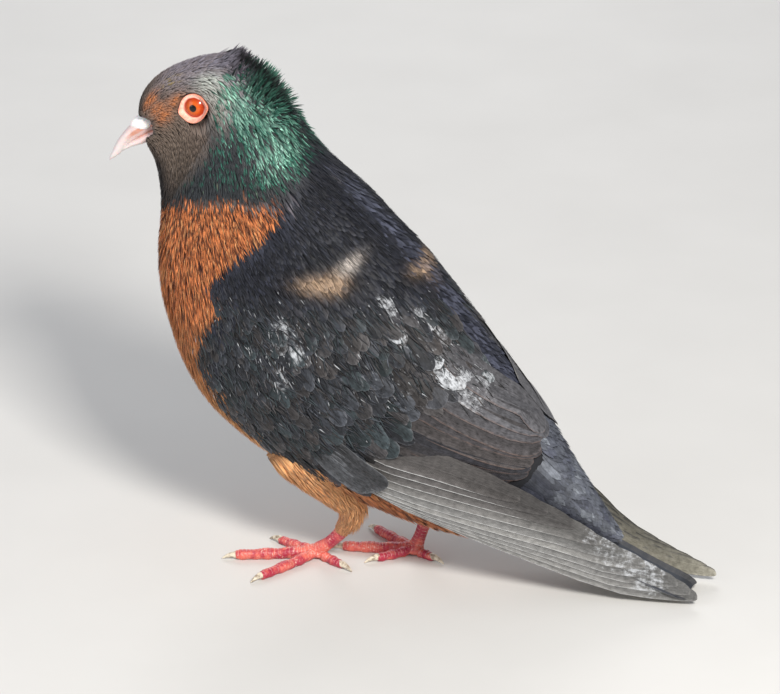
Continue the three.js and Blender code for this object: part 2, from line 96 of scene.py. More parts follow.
# %% [markdown]
# ## The form of the plumage
#
# The outline of the coat is a loft through 21 sections, from the face to the rump, with the same
# sizes as the solids. A place on it has two parameters: `at`, the section number from 0 at the
# face to 20 at the rump, and `turn`, the angle round the section, 0 along the back and negative
# on the left side. Lines of constant turn run from the bill to the tail, which is also the way
# that feathers lie, so this pair of parameters serves the whole coat.

# %% The form
FORM = np.array([  # top x, top z, bottom x, bottom z, half-width, height of the widest place
    [-78.5, 199.0, -76.5, 190.0, 2.5, 0.5],
    [-81.2, 203.5, -78.0, 186.0, 4.8, 0.5],
    [-78.8, 211.0, -76.3, 183.3, 7.6, 0.5],
    [-71.8, 219.0, -74.6, 180.6, 10.3, 0.54],
    [-61.5, 225.2, -73.2, 176.0, 12.9, 0.58],
    [-49.0, 229.6, -72.2, 169.5, 15.2, 0.6],
    [-36.5, 230.0, -71.6, 161.5, 17.8, 0.56],
    [-24.0, 219.5, -71.8, 152.5, 21.5, 0.52],
    [-12.5, 207.5, -72.5, 143.0, 26.0, 0.5],
    [-3.5, 194.5, -72.2, 131.5, 31.0, 0.5],
    [7.0, 182.5, -70.3, 119.5, 36.0, 0.5],
    [20.0, 171.0, -66.5, 107.0, 40.5, 0.49],
    [32.0, 158.5, -60.5, 91.0, 43.5, 0.48],
    [45.5, 145.0, -50.8, 75.0, 45.0, 0.48],
    [58.0, 130.0, -37.0, 62.0, 44.5, 0.48],
    [70.5, 114.5, -16.5, 48.5, 42.0, 0.48],
    [83.0, 99.0, 9.0, 36.5, 37.5, 0.48],
    [95.5, 83.5, 34.5, 26.5, 31.0, 0.48],
    [107.5, 67.5, 58.5, 20.0, 23.0, 0.5],
    [118.5, 51.0, 84.5, 16.5, 15.0, 0.5],
    [130.0, 34.5, 108.0, 16.0, 8.0, 0.5],
])
RUMP_END = len(FORM) - 1
TRUNK_FULLNESS = 0.86
# The hollow of the face, between forehead and chin, where the bill comes out.
HOLLOW = {"x": -84.5, "z": 193.0, "long": 10.0, "high": 6.4, "wide": 14.0}
# The corners of the mouth run further back on both sides, as a tilted ellipsoid for each.
CORNER = {"x": -79.5, "y": 6.5, "z": 195.0, "long": 8.2, "high": 4.8, "wide": 6.0,
          "tilt": math.radians(25)}


def between(rows, at):
    """Catmull-Rom value of a table's rows at a row number that need not be whole."""
    last = len(rows) - 1
    at = np.clip(np.asarray(at, float), 0, last)
    low = np.minimum(at.astype(int), last - 1)
    f = (at - low)[..., None]
    a, b, c, d = (rows[np.clip(low + k, 0, last)] for k in (-1, 0, 1, 2))
    return b + 0.5 * f * (c - a + f * (2 * a - 5 * b + 4 * c - d + f * (3 * (b - c) + d - a)))


def form_row(at):
    """The section at `at`. Beyond the rump it goes on straight."""
    row = between(FORM, at)
    slope = (FORM[-1] - between(FORM, RUMP_END - 0.1)) / 0.1
    beyond = np.maximum(np.asarray(at, float) - RUMP_END, 0)[..., None]
    row = row + beyond * slope
    row[..., 4] = np.maximum(row[..., 4], 0.8)
    return row


def form(at, turn):
    """The plumage surface: centre + up * reach * cos(turn), and y = half-width * sin(turn).

    Two half-ellipses meet at the widest place. On the trunk, |sin| has a power below 1."""
    row = form_row(at)
    flat = np.zeros_like(row[..., 0])
    top = np.stack([row[..., 0], flat, row[..., 1]], -1)
    bottom = np.stack([row[..., 2], flat, row[..., 3]], -1)
    centre = bottom + (top - bottom) * row[..., 5:6]
    up = unit(top - bottom)
    above = np.linalg.norm(top - centre, axis=-1)
    below = np.linalg.norm(bottom - centre, axis=-1)
    cosine, sine = np.cos(turn), np.sin(turn)
    reach = np.where(cosine > 0, above, below)
    power = 1 + (TRUNK_FULLNESS - 1) * smooth(6, 11, at)
    point = centre + up * (reach * cosine)[..., None]
    point[..., 1] = row[..., 4] * np.sign(sine) * np.abs(sine) ** power
    up_in = (point[..., 2] - HOLLOW["z"]) / HOLLOW["high"]
    inside = 1 - (point[..., 1] / HOLLOW["wide"]) ** 2 - up_in ** 2
    wall = HOLLOW["x"] + HOLLOW["long"] * np.sqrt(np.maximum(inside, 0))
    point[..., 0] = np.where(inside > 0, np.maximum(point[..., 0], wall), point[..., 0])
    c, s = math.cos(CORNER["tilt"]), math.sin(CORNER["tilt"])
    long, high, z = 1 / CORNER["long"] ** 2, 1 / CORNER["high"] ** 2, point[..., 2] - CORNER["z"]
    off = (np.abs(point[..., 1]) - CORNER["y"]) / CORNER["wide"]
    square = c * c * long + s * s * high
    linear = z * c * s * (long - high)
    rest = z * z * (s * s * long + c * c * high) + off ** 2 - 1
    root = linear ** 2 - square * rest
    wall = CORNER["x"] + (np.sqrt(np.maximum(root, 0)) - linear) / square
    point[..., 0] = np.where(root > 0, np.maximum(point[..., 0], wall), point[..., 0])
    return point


def frame_of(surface, a, b):
    """Point, the two tangents and the outward normal, by central differences."""
    step = 1e-3
    point = surface(a, b)
    along = (surface(a + step, b) - surface(a - step, b)) / (2 * step)
    round_ = (surface(a, b + step) - surface(a, b - step)) / (2 * step)
    return point, along, round_, unit(np.cross(along, round_))


def ring_grid(rows, steps, start=-math.pi):
    """Parameters of rings: the row numbers, and `steps` angles round from `start`."""
    return np.meshgrid(rows, np.linspace(start, start + 2 * math.pi, steps + 1)[:-1], indexing="ij")


girth = form(np.full(200, 13.0), np.linspace(-math.pi, math.pi, 200))
print("girth of the trunk, mm:", round(np.linalg.norm(np.diff(girth, axis=0), axis=1).sum(), 1))

# %% [markdown]
# ## Writing arrays into meshes
#
# One helper takes points, four-cornered and three-cornered faces and any number of attributes and
# UV maps, and writes them with `foreach_set`. A feather's rim is marked sharp, so that its upper
# face shades as a sheet and not as a pebble.

# %% The mesh writer
def add_object(name, data):
    """A new object with this data, linked into the scene."""
    made = bpy.data.objects.new(name, data)
    bpy.context.scene.collection.objects.link(made)
    return made


def write_mesh(name, points, quads, tris=(), attributes=None, maps=None, sharp=None):
    """A mesh object at the origin. points are bird millimetres; maps are per point."""
    quads = np.asarray(quads, np.int32).reshape(-1, 4)
    tris = np.asarray(tris, np.int32).reshape(-1, 3)
    corners = np.concatenate([quads.ravel(), tris.ravel()])
    starts = np.concatenate([np.arange(len(quads)) * 4, len(quads) * 4 + np.arange(len(tris)) * 3])
    mesh = bpy.data.meshes.new(name)
    mesh.vertices.add(len(points))
    mesh.vertices.foreach_set("co", to_frame(points).astype(np.float32).ravel())
    mesh.loops.add(len(corners))
    mesh.loops.foreach_set("vertex_index", corners.astype(np.int32))
    mesh.polygons.add(len(starts))
    mesh.polygons.foreach_set("loop_start", starts.astype(np.int32))
    mesh.update(calc_edges=True)
    mesh.polygons.foreach_set("use_smooth", np.ones(len(starts), bool))
    for key, values in (attributes or {}).items():
        layer = mesh.attributes.new(key, "FLOAT_COLOR", "POINT")
        layer.data.foreach_set("color", values.astype(np.float32).ravel())
    for key, values in (maps or {}).items():
        layer = mesh.uv_layers.new(name=key)
        layer.data.foreach_set("uv", values[corners].astype(np.float32).ravel())
    if sharp is not None:
        ends = np.empty(len(mesh.edges) * 2, np.int32)
        mesh.edges.foreach_get("vertices", ends)
        ends = ends.reshape(-1, 2)
        layer = mesh.attributes.new("sharp_edge", "BOOLEAN", "EDGE")
        layer.data.foreach_set("value", sharp[ends[:, 0]] & sharp[ends[:, 1]])
    return add_object(name, mesh)


def grid_quads(rows, columns, closed=False, first=0):
    """Faces of a grid of points, row by row. A closed grid joins its last column to its first."""
    row, column = np.meshgrid(np.arange(rows - 1), np.arange(columns - (not closed)), indexing="ij")
    here = first + row * columns + column
    right = first + row * columns + (column + 1) % columns
    return np.stack([here, right, right + columns, here + columns], -1).reshape(-1, 4)


def facing_out(points, quads, tris):
    """The faces, turned over if the volume they enclose is negative."""
    tris = np.asarray(tris, int).reshape(-1, 3)
    corners = np.concatenate([quads[:, [0, 1, 2]], quads[:, [0, 2, 3]], tris])
    p, q, r = (points[corners[:, k]] for k in range(3))
    if (p * np.cross(q, r)).sum() < 0:
        return quads[:, ::-1], tris[:, ::-1]
    return quads, tris


def gather(shapes):
    """Closed shapes as one: their points, and their quads and tris numbered on."""
    starts = np.cumsum([0] + [len(shape[0]) for shape in shapes])
    faces = (np.concatenate([shape[k] + first for shape, first in zip(shapes, starts)]) for k in (1, 2))
    return np.concatenate([shape[0] for shape in shapes]), *faces


def channels(*values):
    """Rows of four for an attribute: up to three values, zeros for the rest, and a 1."""
    nothing = 0 * values[0]
    return np.stack([*values, *[nothing] * (3 - len(values)), nothing + 1], -1).reshape(-1, 4)


def finish_piece(piece, material, slot, *nodes):
    """Material, ride, and the nodes that the piece stands for. The slot argument is not used."""
    piece.data.materials.append(material)
    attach(piece, "root")
    if nodes:
        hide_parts(*nodes)
    print(piece.name, "triangles:", len(piece.data.loops) - 2 * len(piece.data.polygons))

# %% [markdown]
# ## One feather, many times
#
# A small feather is a closed sheet: a ring of points at each station from root to tip, with two
# rims, a slightly raised middle and a flat under side, and one point at the tip. The spine of
# each feather is walked over the surface along the lie, so it bends with the body. Its height
# rises from the skin at the root to the outline at the tip, so each feather lies over the roots
# of those behind it, as tiles do.

# %% Walking along the lie
def walk(surface, a, b, length, lie, stations):
    """Spines in parameters. Each stride solves [along, round] * (da, db) = direction * stride."""
    spine_a, spine_b = [a], [b]
    for before, after in zip(stations[:-1], stations[1:]):
        point, along, round_, normal = frame_of(surface, spine_a[-1], spine_b[-1])
        direction = lie(point, along, round_, normal) * (length * (after - before))[:, None]
        aa, ab, bb = (along * along).sum(-1), (along * round_).sum(-1), (round_ * round_).sum(-1)
        on_a, on_b = (direction * along).sum(-1), (direction * round_).sum(-1)
        spread = np.maximum(aa * bb - ab * ab, 1e-6)
        spine_a.append(spine_a[-1] + (bb * on_a - ab * on_b) / spread)
        spine_b.append(spine_b[-1] + (aa * on_b - ab * on_a) / spread)
    return np.stack(spine_a, 1), np.stack(spine_b, 1)


def with_the_form(swing):
    """The lie along lines of constant turn, swung by an angle for each feather."""
    def lie(point, along, round_, normal):
        ahead = unit(along)
        side = np.cross(normal, ahead)
        return ahead * np.cos(swing)[:, None] + side * np.sin(swing)[:, None]
    return lie


# %% Feather roots in staggered rows
def scatter(surface, span, turns, pitch, keep, seed):
    """Roots (a, b). S(a, b) = integral of ds / row pitch along the lie, worked out on a grid.

    Row k is the curve S = k + 1/2. Its roots stand one column pitch apart, every other row is set
    off by half a pitch, and each root is moved a little at random."""
    rng = np.random.default_rng(seed)
    line_a, line_b = np.linspace(*span, 260), np.linspace(*turns, 241)
    grid_a, grid_b = np.meshgrid(line_a, line_b, indexing="ij")
    places = surface(grid_a, grid_b)
    rows, columns = pitch(grid_a, grid_b, places)
    stride = np.linalg.norm(np.diff(places, axis=0), axis=-1) / (0.5 * (rows[1:] + rows[:-1]))
    passed = np.vstack([np.zeros(len(line_b)), np.cumsum(stride, 0)])
    pick = np.arange(len(line_b))
    found_a, found_b = [], []
    for target in np.arange(0.5, passed.max(), 1.0):
        step = (passed < target).sum(0)
        valid = step < len(line_a)
        step = np.clip(step, 1, len(line_a) - 1)
        low, high = passed[step - 1, pick], passed[step, pick]
        share = (target - low) / np.maximum(high - low, 1e-9)
        row_a = line_a[step - 1] + share * (line_a[1] - line_a[0])
        curve = surface(row_a, line_b)
        wide = columns[step, pick]
        gaps = np.linalg.norm(np.diff(curve, axis=0), axis=-1) / (0.5 * (wide[1:] + wide[:-1]))
        gaps = gaps * (valid[1:] & valid[:-1])
        arc = np.concatenate([[0], np.cumsum(gaps)])
        count = int(arc[-1])
        if count:
            at = np.arange(count) + 0.5 * (int(target) % 2) + rng.uniform(-0.28, 0.28, count)
            b = np.interp(at, arc + np.arange(len(arc)) * 1e-9, line_b)
            a = np.interp(b, line_b, row_a)
            row_gap = (line_a[1] - line_a[0]) / np.maximum(np.interp(b, line_b, high - low), 1e-6)
            found_a.append(a + rng.uniform(-0.25, 0.25, count) * row_gap)
            found_b.append(b)
    a, b = np.clip(np.concatenate(found_a), *span), np.concatenate(found_b)
    kept = keep(a, b, surface(a, b))
    return a[kept], b[kept]


# %% Building feathers as closed sheets
ROUNDED = (np.array([0, 0.22, 0.46, 0.68, 0.86, 1.0]), np.array([0.42, 0.85, 1.0, 0.98, 0.68, 0]))
ROUND_END = (np.array([0, 0.2, 0.42, 0.62, 0.78, 0.89, 0.96, 1.0]),
             np.array([0.42, 0.82, 1.0, 0.99, 0.88, 0.68, 0.42, 0]))
POINTED = (np.array([0, 0.25, 0.5, 0.76, 1.0]), np.array([0.5, 0.95, 0.92, 0.55, 0]))
STRAND = (np.array([0, 0.3, 0.65, 1.0]), np.array([0.6, 1.0, 0.72, 0]))


def feather_faces(stations, columns, under):
    """Faces of one feather: its upper row of columns + 1 points, then `under` points below."""
    ring = columns + 1 + under
    quads = grid_quads(stations - 1, ring, closed=True)
    last = (stations - 2) * ring
    around = np.arange(ring)
    tip = np.stack([last + around, last + (around + 1) % ring, np.full(ring, last + ring)], -1)
    fan = np.arange(1, ring - 1)
    root = np.stack([np.zeros_like(fan), fan + 1, fan], -1)
    return quads[:, ::-1], np.concatenate([tip[:, ::-1], root[:, ::-1]]), ring


def feathers(name, spine, normal, side, half, height, style, tint, place, chalk=None, mirror=False,
             sharp=True, rim_on="both", seed=1, worn=None):
    """A joined mesh of closed sheets.

    point = spine + side * s * half-width + normal * (height - camber * half-width * s^2), with s
    from -1 to 1 across. Under points lie lower by thickness * (1 - s^2)."""
    columns, camber, thickness = style["columns"], style["camber"], style["thickness"]
    count, stations = spine.shape[:2]
    under = columns - 1 if columns > 2 else 0
    quads, tris, ring = feather_faces(stations, columns, under)
    over, back = np.linspace(-1, 1, columns + 1), np.linspace(1, -1, columns + 1)
    across = np.concatenate([over, back[1:-1][:under]])
    below = np.concatenate([np.zeros(columns + 1), np.ones(under)])
    rng = np.random.default_rng(seed)
    rough = 1 + style.get("ragged", 0.08) * rng.uniform(-1, 1, (count, stations - 1, ring))
    body = slice(0, stations - 1)
    low_half, high_half = half if isinstance(half, tuple) else (half, half)
    wide = np.where(across < 0, low_half[:, body, None], high_half[:, body, None]) * rough
    drop = camber * wide * across ** 2 + below * thickness * (1 - across ** 2)
    rise = height[:, body, None] - drop + style.get("shaft", 0) * (across == 0) * (1 - below)
    rows = (spine[:, body, None] + side[:, body, None] * (across * wide)[..., None]
            + normal[:, body, None] * rise[..., None])
    tip = spine[:, -1] + normal[:, -1] * height[:, -1:]
    points = np.concatenate([rows.reshape(count, -1, 3), tip[:, None]], 1)
    each = points.shape[1]
    share = np.asarray(style["stations"])
    along = np.concatenate([np.repeat(share[body], ring), [1.0]])
    s = np.concatenate([np.tile(across, stations - 1), [0.0]])
    edge = np.abs(s) if rim_on == "both" else np.maximum(-s, 0)
    edge = np.maximum(edge, smooth(style.get("rim_end", 0.9), 1.0, along))
    edge = edge * (1 - style.get("rim_fade", 0) * smooth(0.7, 0.97, along))
    length = np.linalg.norm(np.diff(spine, axis=1), axis=-1).sum(1)
    spread = np.concatenate([(across * wide).reshape(count, -1), np.zeros((count, 1))], 1)
    vane = np.stack([spread, along * length[:, None]], -1)
    bake = np.stack([place[:, :1] + 0.0015 * s, place[:, 1:] + 0.003 * (along - 0.5)], -1)
    random = rng.random(count)
    stain = np.zeros((count, stations)) if chalk is None else chalk
    stain = np.concatenate([np.repeat(stain[:, body], ring, 1), stain[:, -1:]], 1)
    edge = edge * (np.ones(count) if worn is None else worn)[:, None]
    part = np.stack(np.broadcast_arrays(along, edge, random[:, None], stain), -1)
    if tint.ndim == 2:
        tint = np.repeat(tint[:, None], stations, 1)
    colour = np.concatenate([np.repeat(tint[:, body], ring, 1), tint[:, -1:]], 1)
    if "under" in style:
        lower = np.concatenate([np.tile(below, stations - 1), [0]])[:, None]
        colour = colour + (style["under"] - colour) * lower
    rims = np.concatenate([np.tile((np.abs(across) == 1) & (below == 0), stations - 1), [True]])
    if mirror:
        points = spread_right(points * [1, -1, 1])
        quads, tris = quads[:, ::-1], tris[:, ::-1]
    first = (np.arange(count) * each)[:, None, None]
    return write_mesh(name, points.reshape(-1, 3), (quads + first).reshape(-1, 4),
                      (tris + first).reshape(-1, 3),
                      {"tint": colour.reshape(-1, 4), "part": part.reshape(-1, 4)},
                      {"OFBake": bake.reshape(-1, 2), "Vane": vane.reshape(-1, 2)},
                      np.tile(rims, count) if sharp else None)


def spine_frame(surface, a, b):
    """Points, normals and sides along spines: side = normal x (tangent of the spine)."""
    point, _, _, normal = (v.reshape(*a.shape, 3) for v in frame_of(surface, a.ravel(), b.ravel()))
    return point, normal, unit(np.cross(normal, unit(np.gradient(point, axis=1))))


SEEN_AT = 0.65  # how far along a feather the middle of what shows of it is


def small_feathers(name, surface, a, b, length, width, lift, sink, swing, kind, style, markings,
                   seed, low=(0, -math.pi), high=(RUMP_END, math.pi), keep_tip=None, **extra):
    """A tract of small feathers. Height goes from -sink at the root to lift at the tip."""
    stations, profile = kind
    spine_a, spine_b = walk(surface, a, b, length, with_the_form(swing), stations)
    point, normal, side = spine_frame(surface, spine_a, spine_b)
    if keep_tip is not None:
        kept = keep_tip(point)
        a, b, width, lift, sink, spine_a, spine_b, point, normal, side = (
            v[kept] for v in (a, b, width, lift, sink, spine_a, spine_b, point, normal, side))
    height = -sink[:, None] + (lift + sink)[:, None] * stations ** 0.8
    place = np.stack([(b - low[1]) / (high[1] - low[1]), (a - low[0]) / (high[0] - low[0])], -1)
    seen = int(np.abs(stations - SEEN_AT).argmin())
    tint = markings(spine_a[:, seen], spine_b[:, seen], point[:, seen], seed)
    return feathers(name, point, normal, side, 0.5 * width[:, None] * profile, height,
                    dict(style, stations=stations), tint, 0.01 + 0.98 * place, seed=seed, **extra)

# %% [markdown]
# ## Finishes
#
# A feather is many fine barbs leaving the shaft at a slant. Its colour is mostly a ground tint,
# darker where the next feather shades its root and often paler or rusty along its worn rim. Each
# feather carries its tint as an attribute, and a second one says where on the feather a point is:
# along it, how near its rim, a random share and how much chalky dirt lies there. Two maps give
# the barbs their real size. Small node groups turn these into colour and height, so that every
# tract shares them with its own values.

# %% A short way to build node trees
class Tree:
    """Adds nodes and links to a node tree. Inputs may be numbers, colours or output sockets."""

    def __init__(self, nodes_of):
        self.tree = nodes_of

    def put(self, socket, value):
        if isinstance(value, bpy.types.NodeSocket):
            self.tree.links.new(value, socket)
        elif value is not None:
            socket.default_value = value

    def node(self, kind, inputs=None, **settings):
        made = self.tree.nodes.new(kind)
        for key, value in settings.items():
            setattr(made, key, value)
        for key, value in (inputs or {}).items():
            self.put(made.inputs[key], value)
        return made

    def maths(self, operation, *values):
        return self.node("ShaderNodeMath", dict(enumerate(values)), operation=operation).outputs[0]

    def mix(self, share, first, second, blend="MIX"):
        made = self.node("ShaderNodeMix", data_type="RGBA", blend_type=blend)
        for socket, value in zip((made.inputs[0], made.inputs[6], made.inputs[7]), (share, first, second)):
            self.put(socket, value)
        return made.outputs[2]

    def step(self, value, low, high, to_low=0.0, to_high=1.0):
        made = self.node("ShaderNodeMapRange", {0: value, 1: low, 2: high, 3: to_low, 4: to_high},
                         interpolation_type="SMOOTHSTEP")
        return made.outputs[0]

    def noise(self, vector, scale, detail=2.0, rough=0.5, stretch=None):
        if stretch is not None:
            vector = self.node("ShaderNodeMapping", {"Vector": vector, "Scale": stretch}).outputs[0]
        made = self.node("ShaderNodeTexNoise", {"Vector": vector, "Scale": scale, "Detail": detail,
                                                "Roughness": rough})
        return made.outputs[0]

    def split(self, value):
        return self.node("ShaderNodeSeparateXYZ", {0: value}).outputs

    def times(self, first, second):
        return self.maths("MULTIPLY", first, second)

    def plus(self, first, second):
        return self.maths("ADD", first, second)

    def minus(self, first, second):
        return self.maths("SUBTRACT", first, second)

    def attribute(self, name):
        return self.node("ShaderNodeAttribute", attribute_name=name).outputs

    def place(self):
        return self.node("ShaderNodeTexCoord").outputs["Object"]

    def cells(self, scale):
        made = self.node("ShaderNodeTexVoronoi", {"Vector": self.place(), "Scale": scale})
        return made.outputs["Distance"]

    def shaded(self, colour, light):
        grey = self.node("ShaderNodeCombineXYZ", {0: light, 1: light, 2: light}).outputs[0]
        return self.mix(1.0, colour, grey, "MULTIPLY")

    def relief(self, height, strength, distance=0.0003):
        bump = self.node("ShaderNodeBump", {"Height": height, "Strength": strength, "Distance": distance})
        return bump.outputs[0]

    def surface(self, inputs):
        """The Principled shader with these inputs, joined to the material's output."""
        shader = self.node("ShaderNodeBsdfPrincipled", inputs)
        self.put(self.node("ShaderNodeOutputMaterial").inputs["Surface"], shader.outputs[0])


def new_material(name):
    """A material with an empty node tree, and the builder of that tree."""
    material = bpy.data.materials.new(name)
    material.use_nodes = True
    material.node_tree.nodes.clear()
    return material, Tree(material.node_tree)


def paint(red, green, blue):
    """A screen colour as a shader's socket takes it, with an alpha of 1."""
    return (*srgb(red, green, blue), 1)


def node_group(name, inputs, outputs):
    """An empty shader group with named sockets, and its input and output nodes."""
    tree = bpy.data.node_groups.new(name, "ShaderNodeTree")
    for title, kind, value in inputs:
        socket = tree.interface.new_socket(title, in_out="INPUT", socket_type="NodeSocket" + kind)
        if value is not None:
            socket.default_value = value
    for title, kind in outputs:
        tree.interface.new_socket(title, in_out="OUTPUT", socket_type="NodeSocket" + kind)
    build = Tree(tree)
    return build, build.node("NodeGroupInput").outputs, build.node("NodeGroupOutput").inputs


# %% Group: barbs
def barbs_group():
    """Stripes at a slant to the shaft: sin of (v * density - |u| * density * slant), in mm."""
    t, given, wanted = node_group(
        "Barbs", [("Vane", "Vector", None), ("Density", "Float", 9.0), ("Slant", "Float", 1.1)],
        [("Height", "Float")])
    u, v, _ = t.split(given["Vane"])
    slanted = t.times(t.maths("ABSOLUTE", u), given["Slant"])
    phase = t.times(t.minus(v, slanted), given["Density"])
    wobble = t.noise(given["Vane"], 0.9, 2.0)
    stripe = t.maths("SINE", t.plus(phase, t.times(wobble, 9.0)))
    shaft = t.step(t.maths("ABSOLUTE", u), 0.05, 0.4, 1.0, 0.0)
    t.put(wanted["Height"], t.plus(t.times(stripe, 0.35), shaft))
    return t.tree


# %% Group: feather wear
def plume_group():
    """Ground tint, darker at the root, mottled, with a worn rim; plus the chalk that lies on it."""
    t, given, wanted = node_group("PlumeWear", [
        ("Tint", "Color", None), ("Part", "Vector", None), ("Chalk", "Float", 0.0),
        ("Place", "Vector", None), ("Vane", "Vector", None), ("Root Shade", "Float", 0.45),
        ("Rim", "Color", (0.3, 0.2, 0.15, 1)), ("Rim Amount", "Float", 0.0), ("Rim From", "Float", 0.8),
        ("Rim Break", "Float", 0.5), ("Mottle", "Float", 0.25), ("Rim Light", "Float", 0.0),
        ("Chalk Colour", "Color", (0.53, 0.55, 0.58, 1))], [("Color", "Color"), ("Chalk", "Float")])
    along, edge, _ = t.split(given["Part"])
    shade = t.step(along, 0.0, 0.55, given["Root Shade"], 1.0)
    mottle = t.noise(given["Place"], 420.0, 3.0, 0.6)
    streak = t.noise(given["Vane"], 1.6, 2.0, 0.6, (1.0, 0.22, 1.0))
    vary = t.plus(t.minus(mottle, 0.5), t.minus(streak, 0.5))
    vary = t.times(vary, given["Mottle"])
    lighter = t.maths("MULTIPLY_ADD", t.step(edge, 0.1, 1.0, -0.5, 0.5), given["Rim Light"], 1.0)
    light = t.times(t.times(shade, t.plus(vary, 1.0)), lighter)
    ground = t.shaded(given["Tint"], light)
    nibbled = t.times(t.minus(streak, 0.5), given["Rim Break"])
    rim = t.step(t.plus(edge, nibbled), given["Rim From"], 0.99)
    rim = t.times(rim, given["Rim Amount"])
    worn = t.mix(rim, ground, given["Rim"])
    grain = t.noise(given["Place"], 420.0, 4.0, 0.7)
    smear = t.noise(given["Vane"], 1.0, 3.0, 0.65, (1.0, 0.12, 1.0))
    broken = t.plus(t.times(grain, 0.62), t.times(smear, 0.38))
    level = t.minus(1.0, t.times(given["Chalk"], 0.72))
    mask = t.step(broken, t.minus(level, 0.09), t.plus(level, 0.2))
    t.put(wanted["Chalk"], mask)
    t.put(wanted["Color"], t.mix(mask, worn, given["Chalk Colour"]))
    return t.tree


BARBS, PLUME = barbs_group(), plume_group()


# %% One material for each tract, from the shared groups
def plume_material(name, roughness=0.62, root_shade=0.45, rim=(0.3, 0.2, 0.15, 1), rim_amount=0.0,
                   rim_from=0.8, rim_break=0.5, mottle=0.25, bump=0.12, density=9.0, sheen=0.03,
                   gloss_on_sheen=0.0, specular=0.25, rim_light=0.0):
    """Feather finish. The tint's fourth channel is how much of a metallic glint it has. With gloss_on_sheen
    the green tint is darkened except in flecks towards the tips: painted glints.
    """
    material, t = new_material(name)
    tint, part = t.attribute("tint"), t.attribute("part")
    vane = t.node("ShaderNodeUVMap", uv_map="Vane").outputs[0]
    ground = tint["Color"]
    if gloss_on_sheen:
        # Painted glints: outside flecks towards the tip the glinting tint is darkened, so its green shows
        # only as painted flecks of light.
        glint_fleck = t.noise(vane, 1.5, 2.0, 0.6, (1.0, 0.3, 1.0))
        tipped = t.step(t.split(part["Vector"])[0], 0.4, 0.9, -0.1, 0.06)
        painted_glint = t.step(t.plus(glint_fleck, tipped), 0.42, 0.62)
        dark = t.mix(1.0, ground, (0.22, 0.2, 0.24, 1), "MULTIPLY")
        hidden = t.times(t.minus(1.0, painted_glint), tint["Alpha"])
        ground = t.mix(hidden, ground, dark)
    plume = t.node("ShaderNodeGroup", {
        "Tint": ground, "Part": part["Vector"], "Chalk": part["Alpha"], "Place": t.place(), "Vane": vane,
        "Root Shade": root_shade, "Rim": rim, "Rim Amount": rim_amount, "Rim From": rim_from,
        "Rim Break": rim_break, "Mottle": mottle, "Rim Light": rim_light}, node_tree=PLUME).outputs
    barbs = t.node("ShaderNodeGroup", {"Vane": vane, "Density": density}, node_tree=BARBS).outputs
    inputs = {"Base Color": plume["Color"], "Specular IOR Level": specular, "Sheen Weight": sheen,
              "Sheen Roughness": 0.4}
    dull = t.maths("MULTIPLY_ADD", plume["Chalk"], 0.25, roughness)
    if gloss_on_sheen:
        inputs["Metallic"] = t.times(tint["Alpha"], gloss_on_sheen)
        dull = t.minus(dull, t.times(inputs["Metallic"], 0.3))
    height = t.plus(barbs["Height"], t.times(plume["Chalk"], 1.5))
    t.surface({**inputs, "Roughness": dull, "Normal": t.relief(height, bump, 0.0002)})
    return material

# %% [markdown]
# ## Markings
#
# Skin and coat share one function that says what colour the bird has at a place on the form,
# with some light and shade painted in: a grey-brown hood with a purplish crown, rust between cere
# and eye, dark hackles with painted green glints, an orange breast that pales to buff under the
# belly, with painted shade between its strands, on the belly band under the wing and under the
# lower breast, and a slate mantle with a painted bluish sheen. Borders are lines in (at, turn).
# Each tract adds its own small differences from feather to feather.

# %% Colours and borders
HOOD = srgb(112, 98, 90)
CROWN = srgb(126, 121, 132)
FOREHEAD = srgb(78, 70, 66)
RUST = srgb(184, 114, 68)
OCHRE = srgb(136, 120, 84)
CHEEK = srgb(106, 93, 83)
THROAT = srgb(38, 34, 35)
HACKLE = srgb(29, 33, 36)
# Green and pale green: the hackles' glints, painted into the colour; the pale one is a painted highlight.
GREEN = srgb(58, 124, 104)
GREEN_HIGHLIGHT = srgb(150, 208, 184)
EAR = srgb(182, 188, 180)
ORANGE = srgb(217, 131, 78)
# A deep orange-brown: painted shade between the breast's strands, on the belly band and under the lower
# breast; also a darker tone for a few thigh strands.
ORANGE_DEEP_AND_SHADE = srgb(98, 52, 30)
BUFF = srgb(214, 160, 108)
MANTLE = srgb(28, 30, 39)
# A paler, bluer slate: a painted bluish sheen on the back.
MANTLE_SHEEN = srgb(76, 79, 94)
SLATE = srgb(58, 61, 67)
TAN = srgb(166, 140, 116)
RUMP_BLUE = srgb(104, 108, 116)

# The lower border of the dark hackles: section number by |turn| in degrees.
NECK_BORDER = ([0, 48, 60, 75, 93, 116, 138, 180], [9.95, 9.78, 9.42, 8.71, 8.15, 7.41, 6.75, 6.45])
# The border of the dark mantle and wing against the orange side: |turn| by section number.
MANTLE_BORDER = ([9.3, 9.6, 9.9, 10.02, 10.12, 10.18, 10.32, 10.95, 11.22, 11.45, 12.25, 13.3, 14.5, 16, 20],
                 [46, 50, 53, 62, 76, 98, 107, 103, 109, 121, 130, 128, 118, 112, 130])


def spot(a, turn, at, by, long, wide):
    """A soft oval on the form: exp(-((a - at) / long)^2 - ((|turn| - by) / wide)^2)."""
    return np.exp(-((a - at) / long) ** 2 - ((np.abs(turn) - by) / wide) ** 2)


def blend(ground, colour, share):
    """ground + (colour - ground) * share. The colours may be single ones or rows."""
    return ground + (colour - ground) * np.asarray(share)[..., None]


def matt(colour):
    """Colours with a fourth column of zeros: no glint."""
    return np.concatenate([colour, np.zeros((*colour.shape[:-1], 1))], -1)


def neck_line(turn):
    return np.interp(np.abs(turn), *NECK_BORDER)


def mantle_line(a):
    return np.interp(a, *MANTLE_BORDER)


